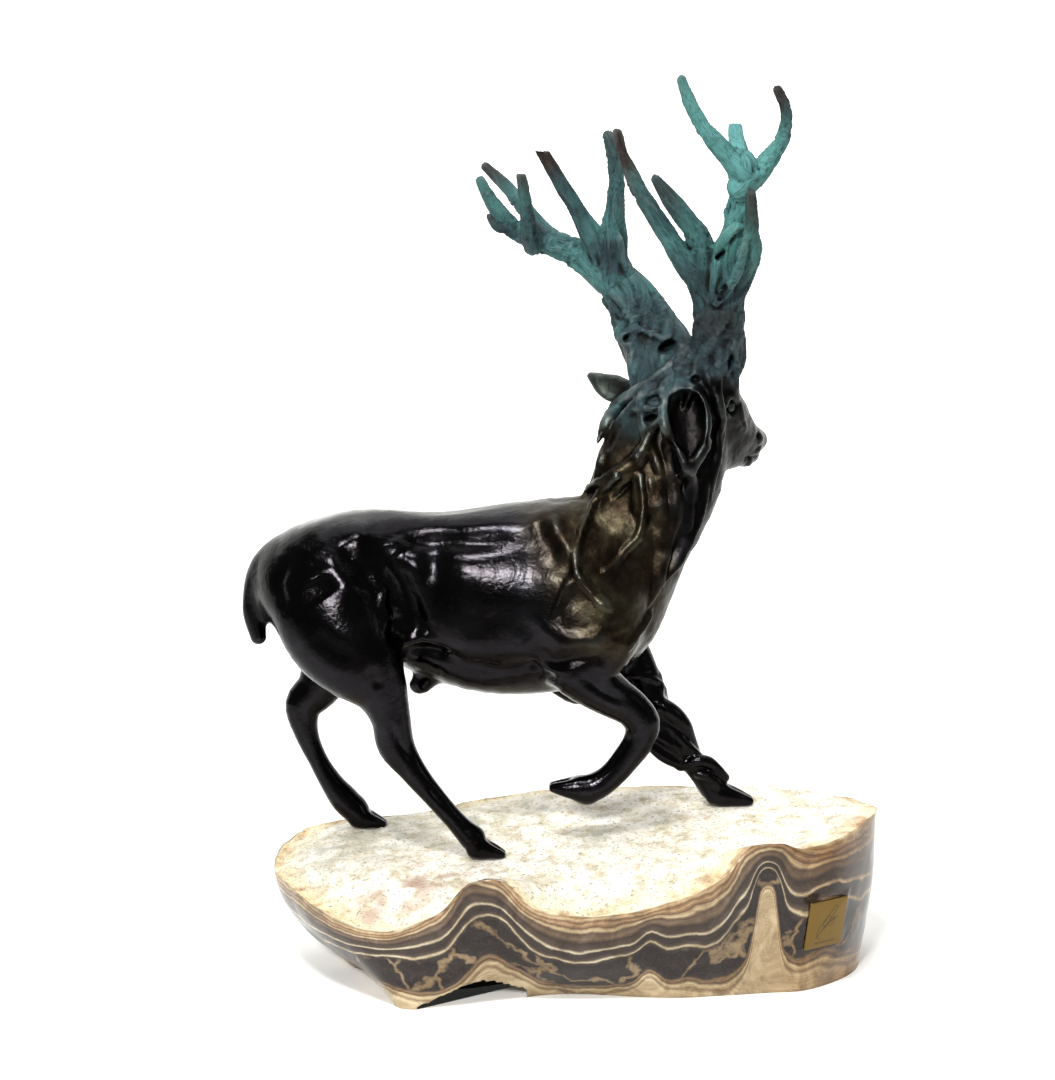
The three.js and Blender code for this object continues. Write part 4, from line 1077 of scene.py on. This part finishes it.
centreTop = rockPoints[index[-1]].mean(axis=0)
centreBase = np.array([*rockPoints[index[0], :2].mean(axis=0), 0])
capFaces = []
for ring, centre, order in ((0, len(rockPoints) + 1, (1, 0)), (len(rings) - 1, len(rockPoints), (0, 1))):
    pair = np.stack([index[ring], nextIndex[ring]], axis=1)[:, list(order)]
    capFaces.append(np.column_stack([pair, np.full(aroundCount, centre)]))
rockPoints = np.vstack([rockPoints, centreTop, centreBase])
rockPoints[:, 2] = np.maximum(rockPoints[:, 2], 0)
triangles = np.vstack([rockFaces[:, [0, 1, 2]], rockFaces[:, [0, 2, 3]], *capFaces])
x, y = rockPoints[:-2, 0], rockPoints[:-2, 1]
ragged = noiseSum(rockPoints[:-2], [(14.0, 20, 0.04), (5.0, 24, 0.025)])
crests = [(-66, -98, 20, 24, 1), (128, -78, 34, 20, 0.6)]
crestShare = sum(amount * np.exp(-(((x - a) / long) ** 2) - ((y - b) / deep) ** 2)
                 for a, b, long, deep, amount in crests)
edgePlace = depth + 0.5 * crestShare + ragged
crustMask = np.append(1 - smooth(edgePlace, -0.02, 0.03), [1, 0])
fringeMask = np.append(smooth(edgePlace, -0.5, 0) * (1 - smooth(depth, 0, 0.1)), [0, 0])
nearCrest = 0.12 * crestShare * smooth(-np.abs(depth), -0.3, 0)
bandMask = np.append(np.where(onWall, bands, 0.0) + nearCrest, [0, 1])
# Where the gap under the front edge gets painted shade
notchShadeMask = np.append(inNotch, [0, 0])
stoneMesh = meshFrom("stone_slab", rockPoints, triangles)

# Stone: thin bands of cream, brown and grey-purple under a pale rough crust, with painted shade in the gap
# under the front edge
stone, tree = materialNamed("banded_stone")
where = add(tree, "TexCoord", {}, "Object")
crustFac, bandFac, notchShadeFac, patchFac, fringeFac, shadeFac = (
    add(tree, "Attribute", {}, "Fac", attribute_name=name)
    for name in ("crust", "band", "notch", "patch", "fringe", "shade"))
wobble, sway, lineFade, chalk, speck = (
    add(tree, "TexNoise", {"Vector": where, "Scale": scale, "Detail": detail, "Roughness": rough})
    for scale, detail, rough in ((60, 6, 0.6), (16, 3, 0.5), (45, 3, 0.5), (70, 8, 0.7), (420, 6, 0.75)))
wobble = add(tree, "Math", {0: wobble, 1: 0.5}, operation="SUBTRACT")
sway = add(tree, "Math", {0: sway, 1: 0.5}, operation="SUBTRACT")
bandPlace = weighted(tree, bandFac, [(wobble, 0.06), (sway, 0.12)])
bandColours = add(tree, "ValToRGB", {"Fac": bandPlace}, stops=[
    (0.0, "#d9ccb0"), (0.03, "#a88763"), (0.05, "#cdb893"), (0.075, "#7a5c46"), (0.1, "#b39774"),
    (0.125, "#6f5443"), (0.15, "#cbb894"), (0.175, "#5c4b3e"), (0.22, "#776452"), (0.26, "#40342e"),
    (0.34, "#56483f"), (0.365, "#d4c8ae"), (0.385, "#3d332e"), (0.44, "#382e2a"), (0.475, "#584a41"),
    (0.495, "#cfc1a4"), (0.515, "#403530"), (0.56, "#282120"), (0.66, "#332a28"), (0.78, "#2a2322"),
    (0.83, "#382e2a"), (0.855, "#8f7658"), (0.875, "#5d4738"), (0.9, "#cbb994"), (0.935, "#8a7258"),
    (0.965, "#cdbd9b"), (1.0, "#bba888")])
lines = add(tree, "Math", {0: bandPlace, 1: 330.0}, operation="MULTIPLY")
lines = add(tree, "Math", {0: lines}, operation="SINE")
lines = add(tree, "Math", {0: lines, 1: lineFade}, operation="MULTIPLY")
lines = weighted(tree, 0.95, [(lines, 0.22)])
lined = layered(tree, bandColours, [(1.0, lines)], "MULTIPLY")
crystal = add(tree, "TexVoronoi", {"Vector": where, "Scale": 420.0})
crystal = add(tree, "ValToRGB", {"Fac": crystal}, stops=[(0.2, 1.15), (0.6, 0.75)])
darkBand = add(tree, "ValToRGB", {"Fac": bandPlace},
               stops=[(0.51, 0.0), (0.57, 1.0), (0.8, 1.0), (0.85, 0.0)])
lined = layered(tree, lined, [(darkBand, crystal)], "MULTIPLY")
warp = add(tree, "TexNoise", {"Vector": where, "Scale": 45.0, "Detail": 4.0}, "Color")
warped = add(tree, "VectorMath", {0: warp, 1: (0.035, 0.035, 0.035), 2: where}, operation="MULTIPLY_ADD")
pods = add(tree, "TexVoronoi", {"Vector": warped, "Scale": 26.0}, feature="DISTANCE_TO_EDGE")
pods = weighted(tree, pods, [(wobble, 0.12)])
podEdge = add(tree, "ValToRGB", {"Fac": pods}, stops=[(0.01, 0.55), (0.06, 0.0)])
podEdge = add(tree, "Math", {0: podEdge, 1: darkBand}, operation="MULTIPLY")
lined = layered(tree, lined, [(podEdge, colour("#b39a76"))])
marble = add(tree, "TexNoise", {"Vector": where, "Scale": 30.0, "Detail": 9.0, "Roughness": 0.72,
                                "Distortion": 1.4})
marble = add(tree, "ValToRGB", {"Fac": marble},
             stops=[(0.32, "#6d5f55"), (0.48, "#c9bfb0"), (0.62, "#ffffff")])
lined = layered(tree, lined, [(0.8, marble)], "MULTIPLY")
chalkColour = add(tree, "ValToRGB", {"Fac": chalk}, stops=[
    (0.3, "#b3a88f"), (0.42, "#d8cdb4"), (0.5, "#ece6d8"), (0.62, "#f6f3ec"), (0.75, "#e9dcc0")])
speckMask = add(tree, "ValToRGB", {"Fac": speck}, stops=[(0.37, 0.8), (0.45, 0.0)])
fringe = add(tree, "TexNoise", {"Vector": where, "Scale": 50.0, "Detail": 7.0, "Roughness": 0.65,
                                "Distortion": 0.8})
fringe = add(tree, "ValToRGB", {"Fac": fringe},
             stops=[(0.35, "#a97f57"), (0.45, "#dcc497"), (0.55, "#efe1bd"), (0.7, "#f6efdc")])
chalkColour = layered(tree, chalkColour, [
    (fringeFac, fringe), (shadeFac, colour("#9d9c8a")), (patchFac, colour("#a87f66")),
    (speckMask, colour("#6b655a"))])
rightEnd = add(tree, "SeparateXYZ", {0: where}, "X")
rightEnd = add(tree, "MapRange", {"Value": rightEnd, "From Min": 0.12, "From Max": 0.2})
lined = layered(tree, lined, [(rightEnd, colour("#d8b98c"))], "MULTIPLY")
# Painted shade: the gap under the front edge is coloured near black, #130d09
stoneBase = layered(tree, lined, [(crustFac, chalkColour), (notchShadeFac, colour("#130d09"))])
stoneRough = weighted(tree, 0.2, [(crustFac, 0.6), (notchShadeFac, 0.6)])
pits = add(tree, "Math", {0: speck, 1: crustFac}, operation="MULTIPLY")
stoneBump = add(tree, "Bump", {"Height": pits, "Strength": 0.9, "Distance": 0.0016})
finish(tree, {
    "Base Color": stoneBase, "Roughness": stoneRough, "Normal": stoneBump, "Specular IOR Level": 0.35})

x, y = rockPoints[:, 0], rockPoints[:, 1]
patches = [(-131, -70, 14), (-97, -50, 16), (-60, -58, 10), (-110, -66, 9)]
patch = sum(np.exp(-((x - a) ** 2 + ((y - b) * 0.8) ** 2) / r ** 2) for a, b, r in patches)
patch *= smooth(noiseAt(rockPoints, 8.0, 21), -0.35, 0.5)
shades = [(-23, 60, 22), (18, 0, 20), (-120, 40, 34), (-160, 10, 34), (-70, 40, 24), (60, 20, 14)]
shade = sum(np.exp(-((x - a) ** 2 + (y - b) ** 2) / r ** 2) for a, b, r in shades)
shade *= 0.3 + 0.7 * smooth(noiseAt(rockPoints, 7.0, 22), -0.4, 0.5)
for name, values in (("crust", crustMask), ("fringe", fringeMask), ("band", bandMask), ("notch", notchShadeMask),
                     ("patch", np.clip(patch, 0, 1) * 0.75), ("shade", np.clip(shade, 0, 1) * 0.7)):
    setMask(stoneMesh, name, values)
stoneSlab = objectFrom("stone_slab", stoneMesh, stone)
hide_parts("stone_base")
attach(stoneSlab, "root")
print("stone", len(stoneMesh.polygons), "faces")

# Brass plate with rounded edges, and a flourish of strokes over a row of short ones
brass, tree = materialNamed("satin_brass")
where = add(tree, "TexCoord", {}, "Object")
brushed = add(tree, "TexNoise", {"Vector": where, "Scale": 900.0, "Detail": 2.0})
brassRough = weighted(tree, 0.3, [(brushed, 0.15)])
finish(tree, {"Base Color": colour("#705a31"), "Metallic": 1.0, "Roughness": brassRough})
ink, tree = materialNamed("engraved_strokes")
finish(tree, {"Base Color": colour("#2c2313"), "Roughness": 0.6})


def fromPlatePlane(x, y, z):
    return plateCentre + plateX * x + plateY * y + plateOut * (z - plate["sink"] + plate["gap"])


# Rings of a plate: half sizes shrink towards each face
plateRings = []
for z, shrink in ((0, 0.5), (0.25, 0.1), (0.5, 0), (1.1, 0), (1.38, 0.12), (1.5, 0.45)):
    halfX, halfY, corner = plate["width"] / 2 - shrink, plate["height"] / 2 - shrink, 0.9
    ring = []
    for quarter in range(4):
        for step in range(4):
            turn = math.radians(quarter * 90 + step * 30)
            sx, sy = ((1, 1), (-1, 1), (-1, -1), (1, -1))[quarter]
            ring.append(fromPlatePlane(sx * (halfX - corner) + corner * math.cos(turn),
                                       sy * (halfY - corner) + corner * math.sin(turn), z))
    plateRings.append(ring)
sides = 16
plateMiddles = [fromPlatePlane(0, 0, z) for z in (0, plate["thickness"])]
platePoints = np.array([p for ring in plateRings for p in ring] + plateMiddles)
plateFaces = []
for ring in range(len(plateRings) - 1):
    for i in range(sides):
        a, b = ring * sides + i, ring * sides + (i + 1) % sides
        plateFaces += [[a, b, b + sides], [a, b + sides, a + sides]]
topStart = (len(plateRings) - 1) * sides
for i in range(sides):
    plateFaces.append([(i + 1) % sides, i, len(platePoints) - 2])
    plateFaces.append([topStart + i, topStart + (i + 1) % sides, len(platePoints) - 1])
brassPlate = objectFrom("plate", meshFrom("plate", platePoints, np.array(plateFaces)), brass)
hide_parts("brass_plate")
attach(brassPlate, "root")

# Strokes as flat ribbons a hair above the plate's face
flourish = [
    [(-4, -11), (-7, -8), (-6, -3), (-1, 3), (4, 9), (7, 12), (8, 10), (5, 5), (0, -1), (-4, -6)],
    [(-2, 1), (1, 5), (3, 4), (1, 0), (-2, -2), (-3, 0), (0, 3)],
    [(2, -1), (5, 3), (7, 3), (5, -1), (3, -3)], [(-8, -9), (-2, -4), (4, 1), (9, 4)]]
ribbonPoints, ribbonFaces = [], []


def addRibbon(route, halfWidth):
    fine = curveThrough([[a, b, 0] for a, b in route], np.linspace(0, 1, 8 * len(route)))[:, :2]
    way = np.gradient(fine, axis=0)
    way /= np.linalg.norm(way, axis=1)[:, None]
    for (a, b), (wx, wy) in zip(fine, way):
        for side in (-1, 1):
            ribbonPoints.append(fromPlatePlane(
                a - wy * side * halfWidth, b + wx * side * halfWidth, plate["thickness"] + 0.03))
    start = len(ribbonPoints) - 2 * len(fine)
    for i in range(len(fine) - 1):
        a = start + 2 * i
        ribbonFaces.append([a, a + 2, a + 3])
        ribbonFaces.append([a, a + 3, a + 1])


for route in flourish:
    addRibbon(route, 0.22)
for i in range(13):
    left = -8.5 + i * 1.35
    addRibbon([(left, -13.2), (left + 0.45, -13.2 + 0.12 * math.sin(i * 2.1)), (left + 0.9, -13.2)], 0.4)
strokes = objectFrom("plate_strokes",
                     meshFrom("plate_strokes", np.array(ribbonPoints), np.array(ribbonFaces)), ink)
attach(strokes, "root")
print("plate made")

# Studio: a pale floor that curves up into a wall, and soft lights. The wall glows, more towards the back,
# and the floor in front carries painted shade so that the bronze mirrors dark there
backdropMaterial, tree = materialNamed("backdrop")
where = add(tree, "TexCoord", {}, "Object")
across = add(tree, "SeparateXYZ", {0: where}, "Y")
behind = add(tree, "MapRange", {"Value": across, "From Min": 0.5, "From Max": 1.6})
# The backdrop glows, faintly at the front and strongly behind
glow = weighted(tree, 0.04, [(behind, 0.78)])
# Painted shade: the floor is dark in front, #636361, so the bronze mirrors dark there
floorShadeInFront = add(tree, "MapRange", {"Value": across, "From Min": -0.24, "From Max": -0.5})
floor = layered(tree, colour("#f8f8f6"), [(floorShadeInFront, colour("#636361"))])
finish(tree, {
    "Base Color": floor, "Roughness": 0.9, "Emission Color": colour("#fcfcf8"), "Emission Strength": glow})
front, sweep, tall, broad = -4000, 900, 4200, 5000
profile = [(front, 0), (sweep, 0)]
profile += [(sweep * (1 + math.sin(turn)), sweep * (1 - math.cos(turn)))
            for turn in np.linspace(0.08, math.pi / 2, 20)]
profile += [(2 * sweep, tall)]
backdropPoints = np.array([[x, y, z] for y, z in profile for x in (-broad, broad)], float)
backdropFaces = np.array([[2 * i, 2 * i + 1, 2 * i + 3, 2 * i + 2] for i in range(len(profile) - 1)])
backdrop = objectFrom("backdrop", meshFrom("backdrop", backdropPoints, backdropFaces), backdropMaterial)

world = bpy.data.worlds.new("room")
bpy.context.scene.world = world
world.use_nodes = True
air = world.node_tree.nodes["Background"].inputs
air[0].default_value, air[1].default_value = colour("#f4f4f0"), 0.22
lights = [
    {"name": "key", "at": (-0.35, -1.05, 1.8), "to": (-0.03, 0, 0.25), "size": (0.42, 0.15), "power": 26},
    {"name": "window", "at": (-0.42, -1.75, 0.95), "to": (-0.06, 0, 0.28), "size": (0.27, 0.23),
     "power": 36},
    {"name": "fill", "at": (1.5, -0.8, 0.9), "to": (0, 0, 0.25), "size": (0.4, 0.4), "power": 1},
    {"name": "top", "at": (0.1, 0.3, 1.7), "to": (0, 0, 0.1), "size": (1.8, 1.4), "power": 15},
]
for lamp in lights:
    data = bpy.data.lights.new(lamp["name"], "AREA")
    data.shape = "RECTANGLE"
    data.size, data.size_y = lamp["size"]
    data.energy = lamp["power"]
    made = bpy.data.objects.new(lamp["name"], data)
    made.location = lamp["at"]
    made.rotation_euler = (Vector(lamp["to"]) - Vector(lamp["at"])).to_track_quat("-Z", "Y").to_euler()
    bpy.context.scene.collection.objects.link(made)

# Camera, as worked out from the photo, in its pixels
photoSide, horizon, focalLength, sensor = 1080, 323, 2015, 36
cameraPitch = math.atan((photoSide / 2 - horizon) / focalLength)
camera = bpy.data.objects.new("camera", bpy.data.cameras.new("camera"))
camera.data.sensor_width = sensor
camera.data.lens = focalLength / photoSide * sensor
camera.location = (-0.033, -1.348, 0.440)
camera.rotation_euler = (math.pi / 2 - cameraPitch, 0, 0)
bpy.context.scene.collection.objects.link(camera)
bpy.context.scene.camera = camera
bpy.context.scene.view_settings.view_transform = "Standard"
